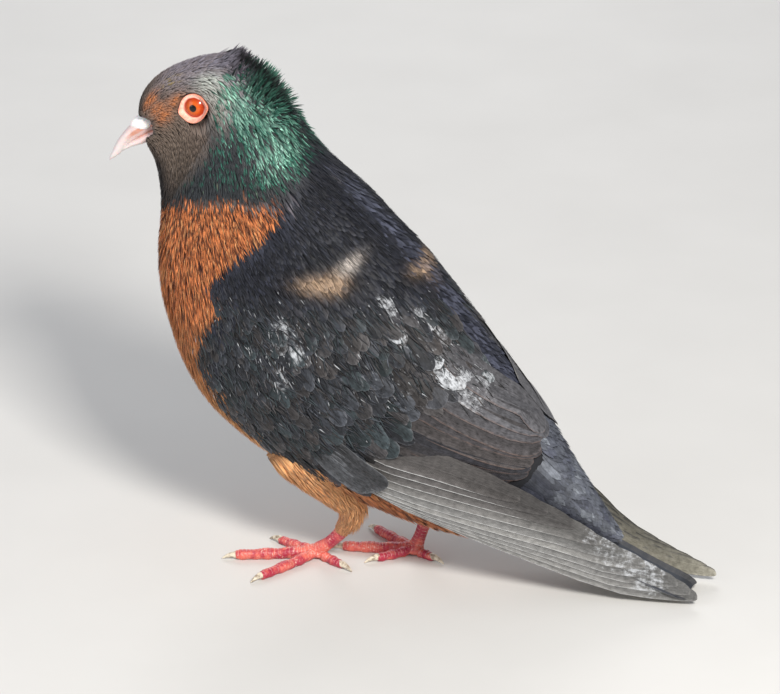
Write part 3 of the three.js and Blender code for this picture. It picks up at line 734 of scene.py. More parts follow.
def green_zone(a, turn):
    """How likely a hackle is to carry a painted green glint: most in a band from behind the eye to the
    shoulder.
    """
    side = np.abs(turn)
    start = np.interp(side, [0, 20, 40, 55, 75, 90, 130, 180], [6.5, 6.4, 6.0, 6.1, 6.9, 7.1, 6.5, 6.3])
    end = neck_line(turn) - np.interp(side, [0, 60, 180], [0.5, 0.35, 0.3])
    front = np.interp(side, [0, 10, 18, 45, 60, 75, 95, 130, 180],
                      [0.3, 0.55, 1, 1, 0.58, 0.42, 0.38, 0.24, 0.12])
    low = 1 - 0.3 * smooth(end - 1.5, end - 0.3, a) * smooth(30, 55, side)
    return smooth(start - 0.4, start + 0.4, a) * smooth(end + 0.3, end - 0.5, a) * front * low


TAN_SPOTS = [  # side view x, z, long, wide, slope, strength
    (9.5, 144.0, 8.0, 3.3, 0, 1.1), (16.5, 144.5, 5.0, 4.0, 10, 0.9), (20.5, 151.0, 5.0, 2.4, 38, 1.4),
    (46.5, 145.0, 3.2, 2.4, -30, 1.2), (52.5, 139.5, 2.5, 1.5, -48, 0.5),
]


def ovals(spots, point, shift=0.0):
    """Sum of slanted ovals in side view: strength * exp(-(u / long)^2 - (w / wide)^2)."""
    total = np.zeros(point.shape[:-1])
    for x, z, long, wide, slope, strength in spots:
        c, s = math.cos(math.radians(slope)), math.sin(math.radians(slope))
        u = (point[..., 0] + shift - x) * c + (point[..., 2] - z) * s
        w = (point[..., 2] - z) * c - (point[..., 0] + shift - x) * s
        total += strength * np.exp(-(u / long) ** 2 - (w / wide) ** 2)
    return total


def tan_patch(point):
    """The pale scapular patch, with a greyer tail up and back, and a small one near the spine."""
    return np.clip(ovals(TAN_SPOTS, point), 0, 1)


def markings(a, b, point, seed):
    """Ground colour and glint of each place (a, b). Columns: red, green, blue, glint."""
    rng = np.random.default_rng(seed + 1000)
    turn = np.degrees(b)
    side = np.abs(turn)
    one, two, three = (rng.random(len(a)) for _ in range(3))
    colour = blend(HOOD, CHEEK, smooth(70, 110, side))
    colour = blend(colour, CROWN, smooth(75, 35, side) * smooth(2.2, 4.0, a) * (0.55 + 0.45 * one))
    colour = blend(colour, FOREHEAD, smooth(3.6, 1.6, a) * smooth(95, 50, side) * 0.85)
    colour = blend(colour, THROAT, smooth(118, 150, side) * smooth(2.2, 4.6, a))
    colour = blend(colour, THROAT, smooth(5.6, 7.0, a) * smooth(90, 130, side) * 0.7)
    colour = blend(colour, OCHRE, spot(a, turn, 3.85, 42, 0.45, 10) * (0.15 + 0.85 * (two > 0.55)))
    rust = (1.4 * spot(a, turn, 2.75, 58, 0.5, 11) + spot(a, turn, 3.4, 78, 0.5, 9)
            + spot(a, turn, 4.0, 90, 0.5, 8) + spot(a, turn, 4.5, 73, 0.42, 9))
    colour = blend(colour, RUST, np.clip(rust, 0, 1) * (0.45 + 0.55 * two))
    colour = blend(colour, FOREHEAD, spot(a, turn, 3.55, 60, 0.28, 6) * 0.7)
    colour = blend(colour, SLATE, spot(a, turn, 6.75, 72, 0.7, 7) * 0.6)
    neck_end = neck_line(turn)
    hackle = smooth(6.3, 7.3, a + 0.3 * (one - 0.5)) * smooth(neck_end + 0.2, neck_end - 0.2, a)
    colour = blend(colour, HACKLE, hackle)
    nape = smooth(60, 30, side) * smooth(8.6, 9.6, a)
    colour = blend(colour, MANTLE, nape * 0.8)
    ear = spot(a, turn, 6.0, 50, 0.75, 14) + 0.6 * spot(a, turn, 5.4, 46, 0.5, 9)
    colour = blend(colour, EAR, np.clip(ear, 0, 1) * (0.45 + 0.5 * one))
    border = neck_end + 0.5 * (one - 0.5) - 0.6 * (two < 0.06)
    orange_side = smooth(mantle_line(a) - 2, mantle_line(a) + 2, side + 6 * (three - 0.5))
    below = (a > border) * 1.0
    # A share of the strands is painted deep orange-brown: painted shade in the gaps between strands.
    orange = blend(ORANGE, ORANGE_DEEP_AND_SHADE, 0.85 * (one < 0.28) + 0.3 * two ** 2)
    orange = blend(orange, BUFF, 0.6 * (one > 0.86))
    orange = blend(orange, BUFF, smooth(10.5, 14.5, a + 1.2 * (three - 0.5)) * smooth(16.8, 15.2, a) * 0.8)
    # Painted shade: darker on the belly band between thigh and wing, and under the lower breast.
    orange = blend(orange, ORANGE_DEEP_AND_SHADE, smooth(15.0, 16.8, a) * 0.5)
    orange = blend(orange, ORANGE_DEEP_AND_SHADE, smooth(150, 178, side) * smooth(12.5, 9.0, a) * 0.55)
    orange = blend(orange, HACKLE, 0.8 * ((two < 0.13) & (a < border + 0.9)))
    # Painted sheen: some mantle feathers are paler and bluer, most along the top of the back.
    back = blend(MANTLE, MANTLE_SHEEN, one ** 1.5 * (0.35 + 0.65 * smooth(60, 15, side)))
    mottled = smooth(16.2, 17.6, a) * smooth(70, 35, side)
    drift = 0.5 + 0.5 * np.sin(7 * a + 2 * np.sin(turn / 13)) * np.sin(turn / 12 + 3 * a)
    back = blend(back, RUMP_BLUE, mottled * (0.1 + 0.6 * drift + 0.15 * two))
    back = blend(back, srgb(146, 152, 160), mottled * smooth(0.7, 0.95, drift) * 0.5 * three)
    back = blend(back, TAN, np.clip(tan_patch(point), 0, 1) * (0.3 + 0.6 * two))
    colour = blend(colour, back, below * (1 - orange_side))
    colour = blend(colour, orange, below * orange_side)
    # Painted green glints: hackles in the green zone are painted green, in clumps, and the brightest ones
    # pale green as a painted highlight.
    clumps = np.sin(7 * a + 2.2 * np.sin(turn / 9)) * np.sin(turn / 5 + 1.7 * np.sin(4 * a))
    zone = green_zone(a, turn) * (1 + 0.35 * clumps)
    lit = (two < 0.85 * zone) * smooth(0.05, 0.2, zone)
    painted_highlight = smooth(0.4, 0.9, zone) * np.clip(1.4 * three - 0.2, 0, 1)
    green = blend(GREEN * 0.55, GREEN, smooth(0.2, 0.6, zone))
    green = blend(green, GREEN_HIGHLIGHT, painted_highlight)
    colour = blend(colour, green, lit * (0.35 + 0.65 * one))
    colour = colour * (0.86 + 0.28 * three)[:, None]
    return np.concatenate([colour, (lit * (1 - below) * (0.4 + 0.6 * one))[:, None]], 1)


# %% [markdown]
# ## The skin
#
# Under the coat a bird is one unbroken skin, so one closed mesh stands for head, neck, trunk and
# thighs. It is the form moved inwards by the depth of the coat: under a millimetre on the face,
# three on the belly, and the depth of the folded wing at the sides. The thighs are tubes that
# start inside the trunk. A voxel remesh melts the three closed shapes into one, and the colour of
# the coat above is written to its points.

# %% Legs, as the solids have them
TOE_SIZES = {"middle": (2.3, 3.4), "outer": (2.1, 3.0), "inner": (2.0, 3.2), "hind": (1.9, 2.2)}
# Points are x, y; rows are x, y, z and radius. A toe is given by its tip, x, y; its radius and the
# height of its root are in TOE_SIZES.
LEGS = {
    "left": {
        "foot": [0, -7.6],
        "thigh": [[-9, -18, 63, 16], [0, -18, 53, 13.5], [8, -17, 44, 10.5], [14, -15.5, 36, 7.6],
                  [17, -13.5, 29.5, 5.4], [15.8, -12.3, 23, 3.9], [12, -11, 16, 3.2]],
        "shank": [[11, -10.7, 14, 2.9], [6, -9.2, 9, 2.8], [0.5, -7.8, 4.2, 3.5]],
        "toes": {"middle": [-40.5, -21.5], "outer": [-21, -41], "inner": [-26, 3.6], "hind": [19, -18.5]}},
    "right": {
        "foot": [40.5, 7.2],
        "thigh": [[24, 18, 62, 16], [30, 18, 52, 13.5], [37, 16.5, 43, 10], [43.5, 13.5, 35, 7],
                  [47, 11.3, 28.5, 5], [46.5, 10, 22, 3.8], [45, 9.3, 17, 3.1]],
        "shank": [[44.6, 9.1, 16, 2.9], [42.8, 8.2, 9.5, 2.8], [41, 7.4, 4.2, 3.5]],
        "toes": {"middle": [2.5, 1.2], "outer": [13, 27], "inner": [21.5, -8.5], "hind": [56, 0]}},
}


def tube(rows):
    """A surface round a bent limb: centre(a) + radius(a) * (side * cos b - other * sin b).

    side is Y crossed with the direction of the limb, and other completes the square."""
    rows = np.asarray(rows, float)

    def surface(a, b):
        row = between(rows, a)
        ahead = unit(between(rows, a + 0.02)[..., :3] - between(rows, a - 0.02)[..., :3])
        side = unit(np.cross(np.array([0.0, 1.0, 0.0]), ahead))
        other = np.cross(ahead, side)
        outward = side * np.cos(b)[..., None] - other * np.sin(b)[..., None]
        return row[..., :3] + row[..., 3:4] * outward
    return surface


# %% The eyes' places
EYE = {"x": -51.6, "y": 8.8, "z": 210.0, "radius": 6.4}
EYE_LOOK = unit(np.array([-0.08, 0.985, 0.06]))


def off_eye(point):
    """How far points lie from the axis of the nearer eye."""
    nearer = np.where(point[..., 1:2] < 0, [1, -1, 1], [1, 1, 1])
    look = EYE_LOOK * nearer
    to = point - np.array([EYE["x"], EYE["y"], EYE["z"]]) * nearer
    return np.linalg.norm(to - (to * look).sum(-1, keepdims=True) * look, axis=-1)


# %% The depth of the coat, and one skin
COAT_DEPTH = ([0, 2, 5, 7, 9, 12, 17, 20], [0.7, 0.8, 1.1, 2.0, 3.0, 3.2, 3.0, 2.0])
WING_DEPTH = 6.5


def taper(a):
    """1 where the body reaches 30 mm or more to a side, and less where it is narrower."""
    return np.minimum(1, form_row(a)[..., 4] / 30)


def skin_depth(a, turn):
    """How far the skin lies under the form: the coat's depth, and the wing's at the sides."""
    under_wing = smooth(8.5, 12, a) * smooth(150, 120, np.abs(turn)) * smooth(8, 40, np.abs(turn))
    return np.interp(a, *COAT_DEPTH) + under_wing * WING_DEPTH * taper(a)


def closed_tube(points):
    """A grid of rings closed with one point at each end: its points, quads and tris, facing out."""
    rows, columns = points.shape[:2]
    flat = np.concatenate([points.reshape(-1, 3), points[:1].mean(1), points[-1:].mean(1)])
    here = np.arange(columns)
    there = (here + 1) % columns
    last = (rows - 1) * columns
    first_cap = np.stack([there, here, np.full(columns, rows * columns)], -1)
    last_cap = np.stack([last + here, last + there, np.full(columns, rows * columns + 1)], -1)
    caps = np.concatenate([first_cap, last_cap])
    return flat, *facing_out(flat, grid_quads(rows, columns, closed=True), caps)


def melted(name, shapes, voxel, smoothing):
    """Closed shapes joined into one mesh by a voxel remesh, then smoothed and applied."""
    piece = write_mesh(name, *gather([closed_tube(shape) for shape in shapes]))
    remesh = piece.modifiers.new("melt", "REMESH")
    remesh.mode, remesh.voxel_size, remesh.use_smooth_shade = "VOXEL", voxel * MM, True
    relax = piece.modifiers.new("relax", "SMOOTH")
    relax.iterations = smoothing
    evaluated = piece.evaluated_get(bpy.context.evaluated_depsgraph_get())
    mesh = bpy.data.meshes.new_from_object(evaluated)
    piece.modifiers.clear()
    piece.data = mesh
    return piece


def places_on_form(points):
    """(at, turn) of points near the form. In side view each section is a line, so `at` is where
    the point lies on such a line, found by halving, and cos(turn) is its height on the line."""
    low, high = np.zeros(len(points)), np.full(len(points), RUMP_END + 4.0)

    def ends(at):
        row = form_row(at)
        return row[:, [0, 1]], row[:, [2, 3]], row[:, 5]

    for _ in range(26):
        middle = 0.5 * (low + high)
        top, bottom, _ = ends(middle)
        line, to = top - bottom, points[:, [0, 2]] - bottom
        behind = line[:, 1] * to[:, 0] - line[:, 0] * to[:, 1] > 0
        low, high = np.where(behind, middle, low), np.where(behind, high, middle)
    top, bottom, share = ends(low)
    centre = bottom + (top - bottom) * share[:, None]
    long = np.linalg.norm(top - bottom, axis=-1)
    height = ((points[:, [0, 2]] - centre) * (top - bottom)).sum(-1) / long
    cosine = np.where(height > 0, height / (long * (1 - share)), height / (long * share))
    side = np.where(points[:, 1] < 0, -1.0, 1.0)
    return low, side * np.arccos(np.clip(cosine, -0.998, 0.998))


body_a, body_b = ring_grid(np.linspace(0, RUMP_END, 161), 120)
body_point, _, _, body_normal = frame_of(form, body_a, body_b)
flesh = body_point - body_normal * skin_depth(body_a, np.degrees(body_b))[..., None]
flesh[..., 1] *= 1 - 0.5 * smooth(7.6, 5.2, off_eye(body_point))
flesh[..., 1] = np.where(body_a < 1.5, body_point[..., 1] * 0.93, flesh[..., 1])
shapes = [flesh]
THIGHS = {side: tube(leg["thigh"]) for side, leg in LEGS.items()}
for surface in THIGHS.values():
    leg_a, leg_b = ring_grid(np.linspace(0, 6, 40), 32)
    leg_point, _, _, leg_normal = frame_of(surface, leg_a, leg_b)
    shapes.append(leg_point - leg_normal * np.interp(leg_a, [0, 3, 6], [2.2, 1.6, 0.5])[..., None])
skin = melted("skin", shapes, 1.25, 3)
skin_points = np.empty(len(skin.data.vertices) * 3, np.float32)
skin.data.vertices.foreach_get("co", skin_points)
skin_points = (skin_points.reshape(-1, 3).astype(float) - [HUB, 0, 0]) / MM
skin_a, skin_b = places_on_form(skin_points)
skin_tint = markings(skin_a, skin_b, skin_points, 3)
below_belly = smooth(3.0, 9.0, form(skin_a, np.sign(skin_b) * math.pi)[:, 2] - skin_points[:, 2])
skin_tint[:, :3] = blend(skin_tint[:, :3], BUFF * 0.7, below_belly) * 0.55
skin_tint[:, 3] = 0
layer = skin.data.attributes.new("tint", "FLOAT_COLOR", "POINT")
layer.data.foreach_set("color", skin_tint.astype(np.float32).ravel())
print("skin points:", len(skin_points))


# %% Skin finish
def skin_material(name):
    """Bare skin: the ground tint, follicle dimples from a cell pattern, and a soft mottle."""
    material, t = new_material(name)
    light = t.maths("MULTIPLY_ADD", t.noise(t.place(), 160.0, 4.0), 0.5, 0.7)
    t.surface({"Base Color": t.shaded(t.attribute("tint")["Color"], light), "Roughness": 0.75,
               "Normal": t.relief(t.cells(550.0), 0.3)})
    return material


finish_piece(skin, skin_material("bare_skin"), "buff", "head", "neck", "breast", "belly", "back", "rump",
             "thigh_left", "thigh_right")

# %% [markdown]
# ## Where the wings cover the body
#
# The folded wing is an outline in side view. Body feathers are laid everywhere else, and run a
# little way under its edge. The outline is a smooth closed curve through a few named places, from
# the wrist round over the back and forward again along the lower edge.

# %% The wing's outline
WING_OUTLINE = np.array([
    [-48.5, 104], [-45, 117], [-37, 128], [-38, 140], [-26, 153], [-8, 168], [4, 190], [60, 190],
    [130, 100], [113, 66], [97, 46], [78, 39], [46, 43], [30, 49], [14, 55], [-5, 57.5], [-21, 64],
    [-35, 77], [-44, 92],
], float)
WING_MIDDLE = np.array([25.0, 95.0])
WING_SPACE = 7.0  # half the width of the bare strip along the back, between the wings


def closed_curve(corners, count):
    """Catmull-Rom curve round the corners, as count points."""
    looped = np.vstack([corners[-1:], corners, corners[:2]])
    return between(looped, 1 + np.linspace(0, len(corners), count, endpoint=False))


def inside(outline, x, z):
    """Whether points lie inside a closed outline: an odd number of its edges lies to their right."""
    x, z = np.asarray(x)[..., None], np.asarray(z)[..., None]
    x0, z0 = outline[:, 0], outline[:, 1]
    x1, z1 = np.roll(x0, -1), np.roll(z0, -1)
    edge_x = (x1 - x0) * (z - z0) / np.where(z1 == z0, 1e-9, z1 - z0) + x0
    return (((z0 > z) != (z1 > z)) & (x < edge_x)).sum(-1) % 2 == 1


WING_CURVE = closed_curve(WING_OUTLINE, 120)


def under_wing(point, margin):
    """Places that the wing covers, at least `margin` inside its outline."""
    shrunk = WING_MIDDLE + (WING_CURVE - WING_MIDDLE) * (1 - margin / 60)
    return inside(shrunk, point[..., 0], point[..., 2]) & (np.abs(point[..., 1]) > WING_SPACE + margin)


# %% [markdown]
# ## The coat of the body
#
# One scatter of roots covers the whole form, so that no border shows between tracts. The pitch
# and the size of the feathers follow the bird: tiny on the face, narrow pointed hackles on the
# neck, hair-like strands on the breast, soft round ones on the belly and broad ones on the back.
# Only then are the roots shared out among pieces.

# %% Roots for the whole body
LID_OUTER = 6.7
UNDER_WING = 5.0  # how far the body's feathers run under the wing's edge
BODY_AT = [0, 1.5, 3, 5, 6.5, 8, 9.5, 11, 14, 17, 20]
ROW_PITCH = [0.85, 0.95, 1.1, 1.3, 1.5, 1.8, 1.8, 1.6, 2.2, 3.2, 4.0]
COLUMN_PITCH = [0.7, 0.75, 0.85, 0.9, 0.95, 1.0, 0.95, 0.85, 1.4, 2.4, 2.8]
LENGTH = [2.0, 3.0, 4.0, 5.0, 7.5, 11.0, 12.5, 13.5, 13.5, 14.0, 17.0]
WIDTH = [0.95, 1.1, 1.25, 1.35, 1.45, 1.5, 1.2, 1.0, 2.0, 3.6, 4.2]
BACK_PITCH, BACK_LENGTH, BACK_WIDTH = (2.7, 2.0), 14.0, 3.8


def is_back(a, b):
    """Share of the back's feathers: behind the neck line, above the mantle line."""
    turn = np.degrees(b)
    behind_neck = smooth(neck_line(turn) - 0.1, neck_line(turn) + 0.5, a)
    return behind_neck * smooth(4, -4, np.abs(turn) - mantle_line(a))


def body_size(a, b, table, back):
    """A size along the body, swapped for the back's size where the back is."""
    size = np.interp(a, BODY_AT, table)
    return size + is_back(a, b) * (back - size)


def body_pitch(a, b, point):
    return body_size(a, b, ROW_PITCH, BACK_PITCH[0]), body_size(a, b, COLUMN_PITCH, BACK_PITCH[1])


def off_bill(point):
    """How far points lie from the root of the bill and the cere, in the shape of an oval."""
    return np.sqrt(((point[..., 0] + 79) / 7.0) ** 2 + (point[..., 1] / 5.0) ** 2
                   + ((point[..., 2] - 191.5) / 6.4) ** 2)


def off_corner(point):
    """How far points lie from the middle of the nearer corner of the mouth; its wall is at 1."""
    x, z = point[..., 0] - CORNER["x"], point[..., 2] - CORNER["z"]
    y = np.abs(point[..., 1]) - CORNER["y"]
    c, s = math.cos(CORNER["tilt"]), math.sin(CORNER["tilt"])
    return np.sqrt(((x * c + z * s) / CORNER["long"]) ** 2 + (y / CORNER["wide"]) ** 2
                   + ((z * c - x * s) / CORNER["high"]) ** 2)


def body_keep(a, b, point):
    face = (off_bill(point) > 1.0) & (off_corner(point) > 1.05)
    return ~under_wing(point, UNDER_WING) & (off_eye(point) > LID_OUTER) & face


body_a, body_b = scatter(form, (0.02, 19.9), (-math.pi, math.pi), body_pitch, body_keep, 11)
print("body feathers:", len(body_a))

# %% Shared out among tracts
body_rng = np.random.default_rng(5)
count = len(body_a)
body_length = body_size(body_a, body_b, LENGTH, BACK_LENGTH) * body_rng.uniform(0.85, 1.15, count)
body_width = body_size(body_a, body_b, WIDTH, BACK_WIDTH) * body_rng.uniform(0.85, 1.15, count)
body_sink = np.interp(body_a, *COAT_DEPTH) * 0.8
lift_here = np.interp(body_a, [0, 5, 8, 12, 20], [0.15, 0.3, 0.6, 0.6, 0.8])
body_lift = lift_here * body_rng.uniform(0.5, 1.5, count)
swing_here = np.interp(body_a, [0, 6, 9, 12, 20], [0.12, 0.14, 0.16, 0.09, 0.1])
body_swing = body_rng.normal(0, 1, count) * swing_here
seen_a, seen_b = (v[:, 1] for v in walk(form, body_a, body_b, body_length, with_the_form(body_swing),
                                        np.array([0, SEEN_AT])))
on_back = (body_rng.random(count) < is_back(seen_a, seen_b)) & (body_a > 8.6)
on_head = (body_a < 6.3) & ~on_back
on_neck = (body_a >= 6.3) & (seen_a < neck_line(np.degrees(seen_b))) & ~on_back
on_belly = (body_a > 13.6) & ~on_back
on_breast = ~(on_back | on_head | on_neck | on_belly)
HAIR = {"columns": 2, "camber": 0.35, "thickness": 0.1, "ragged": 0.1}
BLADE_LIKE = {"columns": 2, "camber": 0.3, "thickness": 0.1, "ragged": 0.08}
SOFT = {"columns": 2, "camber": 0.22, "thickness": 0.1, "ragged": 0.1}
COVERT = {"columns": 4, "camber": 0.16, "thickness": 0.16, "ragged": 0.11, "shaft": 0.06}


def lids_clear(point):
    """Keeps feathers that stay off the lids all along."""
    return off_eye(point).min(1) > LID_OUTER - 0.2


BODY_ROWS = (body_a, body_b, body_length, body_width, body_lift, body_sink, body_swing)


def body_tract(name, chosen, kind, style, material, slot, seed, **extra):
    """The chosen feathers as a piece of their own."""
    a, b, *sizes = (v[chosen] for v in BODY_ROWS)
    piece = small_feathers(name, form, a, b, *sizes, kind, style, markings, seed,
                           low=(a.min(), b.min()), high=(a.max(), b.max()), **extra)
    finish_piece(piece, material, slot)


body_tract("coat_head", on_head, STRAND, HAIR,
           plume_material("hood_feathers", 0.6, 0.5, mottle=0.35, bump=0.06), "hood", 21,
           keep_tip=lids_clear, sharp=False)
body_tract("coat_neck", on_neck, POINTED, BLADE_LIKE,
           plume_material("hackles", 0.48, 0.3, mottle=0.5, gloss_on_sheen=0.5, specular=0.5), "hackle", 22)
body_tract("coat_breast", on_breast, STRAND, HAIR,
           plume_material("breast_strands", 0.72, 0.3, mottle=0.6, sheen=0.12), "bronze", 23, sharp=False)
body_tract("coat_belly", on_belly, ROUNDED, SOFT,
           plume_material("belly_feathers", 0.78, 0.5, mottle=0.35, sheen=0.12), "buff", 24)
body_tract("coat_back", on_back, ROUNDED, SOFT,
           plume_material("mantle_feathers", 0.55, 0.75, mottle=1.3), "mantle", 25)

# %% [markdown]
# ## The folded wings
#
# A folded wing is a stack. Lowest lie the ten primaries, whose narrow outer vanes show one above
# the other along the lower edge and whose tips step back towards the point. Over their base lie
# the secondaries, then the coverts, which grow from scales at the wrist to broad feathers, and a
# small lobe, the alula with the primary coverts, over the root of the primaries. Both wings are
# made as left wings with their own random numbers, and the right one is mirrored and set a
# little apart at its end, as in the solids.

# %% The right wing's place, and the bed under the coverts
RIGHT_SPREAD, RIGHT_REACH, SPREAD_FROM, SPREAD_OVER = 8.0, 3.0, 90.0, 84.0


def spread_right(points):
    """x + reach * s and y + spread * s^2, with s = (x - 90) / 84 where that is above 0."""
    share = np.maximum(0, points[..., 0] - SPREAD_FROM) / SPREAD_OVER
    moved = np.array(points)
    moved[..., 0] += RIGHT_REACH * share
    moved[..., 1] += RIGHT_SPREAD * share ** 2
    return moved


def wing_place(x, z):
    """(at, turn) on the left side for side-view points, kept off the bare strip along the back."""
    x, z = np.broadcast_arrays(np.asarray(x, float), np.asarray(z, float))
    flat = np.stack([x.ravel(), np.full(x.size, -1.0), z.ravel()], 1)
    a, b = places_on_form(flat)
    half = form_row(a)[:, 4]
    power = 1 + (TRUNK_FULLNESS - 1) * smooth(6, 11, a)
    least = np.arcsin(np.clip((WING_SPACE / half) ** (1 / power), 0, 0.97))
    return a.reshape(x.shape), -np.clip(np.abs(b), least, math.pi).reshape(x.shape)


def wing_bed(name, mirror):
    """The wing's body: side-view points centre + r * (outline - centre), laid on the form.

    Its outer face lies a little under the form and its inner face deeper, joined at the rim."""
    ring, angle = np.meshgrid(np.linspace(0, 1, 22), np.arange(120), indexing="ij")
    flat = WING_MIDDLE + ring[..., None] * (WING_CURVE[angle] - WING_MIDDLE)
    a, b = wing_place(flat[..., 0], flat[..., 1])
    point, _, _, normal = frame_of(form, a, b)
    outer = point - normal * (1.5 + 0.8 * smooth(0.9, 1, ring))[..., None]
    inner = point - normal * (2.4 + 3.4 * taper(a) * smooth(1.0, 0.85, ring))[..., None]
    sheet = np.concatenate([outer, inner[::-1]])
    points, quads, tris = closed_tube(spread_right(sheet * [1, -1, 1]) if mirror else sheet)
    return write_mesh(name, points, quads, tris, {"tint": np.tile(matt(MANTLE * 0.5), (len(points), 1))})


# %% Colours of the wing
SHOULDER = (128, 142)  # heights between which the coverts turn small and dark
BARB_SHOULDER = (124, 140)  # the same for the loose barbs
LIE = -48  # slope of the smears in side view, in degrees
CHALK_SPOTS = [  # side view x, z, long, wide, slope, strength of the chalky dirt
    (-3, 127, 6, 4, LIE, 0.9), (1, 114.5, 5, 6, LIE, 0.95), (-4, 102, 5, 6, LIE, 0.95),
    (-12, 118, 9, 9, LIE, 0.45), (36.5, 136, 8, 2.6, LIE, 1.0), (56, 123, 12, 2.4, LIE, 1.05),
    (44.5, 121, 5, 3.5, LIE, 0.75), (28, 131, 7, 3, LIE, 0.5),
    (71, 100.5, 10, 5.5, LIE, 1.0), (80, 94, 8, 4.0, LIE, 0.9), (88, 91, 4, 2.5, LIE, 0.8),
    (61, 108, 8, 4, LIE, 0.75), (30, 105, 14, 10, LIE, 0.3), (96, 80, 7, 2.2, LIE, 0.7),
    (88, 106, 12, 1.6, LIE - 6, 0.9), (148, 13, 11, 5.5, LIE, 1.15), (157, 9, 9, 5, LIE, 1.1),
    (134, 22, 10, 6, LIE, 0.95), (124, 32, 8, 3.5, LIE, 0.8), (52, 96, 14, 8, LIE, 0.22),
    (110, 62, 7, 2, LIE, 0.7),
]
CHALK_SHIFT = 14.0  # how much further forward the dirt lies on the right wing
RIGHT_CHALK = 0.2  # how strong it is there: that wing is much the cleaner one


def chalk_on(point, shift=0.0):
    """How much chalky dirt lies at points, moved forward by shift."""
    return np.clip(ovals(CHALK_SPOTS, point, shift), 0, 1.1)


def wing_markings(point, seed):
    """Slate feathers, each a little browner or bluer, some with a painted teal sheen; the tan patch is read
    along each.
    """
    rng = np.random.default_rng(seed + 500)
    x, z = point[:, 2, 0], point[:, 2, 2]
    one, two, three = (rng.random(len(x)) for _ in range(3))
    colour = blend(SLATE, srgb(36, 38, 43), one)
    colour = blend(colour, srgb(66, 60, 56), 0.45 * (two > 0.7) + 0.3 * smooth(40, 80, x))
    # Painted sheen: a quarter of the lower coverts are painted teal, and the same ones get a metallic glint.
    colour = blend(colour, srgb(46, 60, 61), 0.45 * (two < 0.25) * smooth(150, 120, z))
    colour = blend(colour, MANTLE, smooth(*SHOULDER, z) * 0.85)
    colour = colour * (0.62 + 0.78 * three)[:, None]
    streak = 0.75 * rng.random((len(x), 1)) + 0.5 * rng.random(point.shape[:2])
    pale = np.clip(tan_patch(point) * (0.35 + streak), 0, 1)
    greyer = smooth(13, 20, point[..., 0]) * smooth(146, 150, point[..., 2])
    colour = blend(colour[:, None], blend(TAN, srgb(198, 188, 180), greyer), pale * 0.9)
    glint = (two < 0.25)[:, None, None] * 0.35 * (1 - pale[..., None])
    return np.concatenate([colour, glint], -1)


# %% Scatter of the coverts
def growth(point):
    """0 at the wrist to 1 where the coverts end over the secondaries."""
    return np.clip(((point[..., 0] + 45) * 0.78 - (point[..., 2] - 135) * 0.62) / 110, 0, 1)


def lie_angle(point):
    """How far the lie points below the horizontal: 52 degrees above, less at the lower rear."""
    low = smooth(0, 1, (118 + 0.1 * point[..., 0] - point[..., 2]) / 60)
    return np.radians(52 - (8 + 22 * smooth(-10, 40, point[..., 0])) * low)


def side_lie(angle):
    """The direction (cos, 0, -sin) of each feather's angle, laid into the surface."""
    def lie(point, along, round_, normal):
        ahead = np.stack([np.cos(angle), 0 * angle, -np.sin(angle)], -1)
        return unit(ahead - (ahead * normal).sum(-1, keepdims=True) * normal)
    return lie


def wing_spines(a, b, length, angle, stations):
    """Points, normals and sides of spines at an angle, which stop short of the back's middle."""
    spine_a, spine_b = walk(form, a, b, length, side_lie(angle), stations)
    return spine_frame(form, spine_a, np.minimum(spine_b, math.radians(-3)))


def bake_place(a, b):
    """Places on the bake map: a and b spread over it, a hundredth inside its edges."""
    return 0.01 + 0.98 * np.stack([(b - b.min()) / np.ptp(b), (a - a.min()) / np.ptp(a)], -1)


def covert_pitch(a, b, point):
    grown, upper = growth(point), smooth(*SHOULDER, point[..., 2])
    return (2.8 + 4.2 * grown) * (1 - 0.3 * upper), (2.9 + 4.4 * grown) * (1 - 0.45 * upper)


def covert_keep(a, b, point):
    behind = (point[..., 0] - 24) - (point[..., 2] - 74) * 0.9
    on_wing = inside(WING_CURVE, point[..., 0], point[..., 2])
    return on_wing & (behind < 0) & (point[..., 1] < -WING_SPACE * 0.8)


def wing_coverts(name, mirror, seed):
    """Coverts laid on the form over the wing's bed, as broad closed sheets."""
    turns = (math.radians(-158), math.radians(-5))
    a, b = scatter(form, (8.8, 18.5), turns, covert_pitch, covert_keep, seed)
    rng = np.random.default_rng(seed + 1)
    root = form(a, b)
    grown = growth(root)
    upper = smooth(*SHOULDER, root[:, 2])
    length = (7.5 + 17 * grown) * rng.uniform(0.75, 1.25, len(a))
    width = (4.8 + 7.4 * grown) * rng.uniform(0.75, 1.2, len(a)) * (1 - 0.45 * upper)
    stations, profile = ROUND_END
    angle = lie_angle(root) + rng.normal(0, 1, len(a)) * (0.2 - 0.1 * upper)
    point, normal, side = wing_spines(a, b, length, angle, stations)
    lift = (0.5 + 0.5 * grown) * rng.uniform(0.4, 1.9, len(a))
    height = -1.3 + (lift + 1.3)[:, None] * stations ** 0.7
    tint = wing_markings(point, seed)
    dusty = 0.3 * smooth(150, 130, point[..., 2]) * rng.uniform(0.5, 1.4, (len(a), 1))
    chalk = dusty + chalk_on(point, CHALK_SHIFT * mirror) * (RIGHT_CHALK if mirror else 0.58)
    worn = 0.55 + 0.45 * smooth(146, 128, point[:, 2, 2]) * rng.uniform(0.7, 1.1, len(a))
    return feathers(name, point, normal, side, 0.5 * width[:, None] * profile, height,
                    dict(COVERT, stations=stations), tint, bake_place(a, b), chalk=chalk,
                    mirror=mirror, seed=seed, worn=worn)


# %% Loose barbs over the coverts
def barb_pitch(a, b, point):
    upper = smooth(*BARB_SHOULDER, point[..., 2])
    return 2.4 - 0.9 * upper, 1.9 - 0.8 * upper


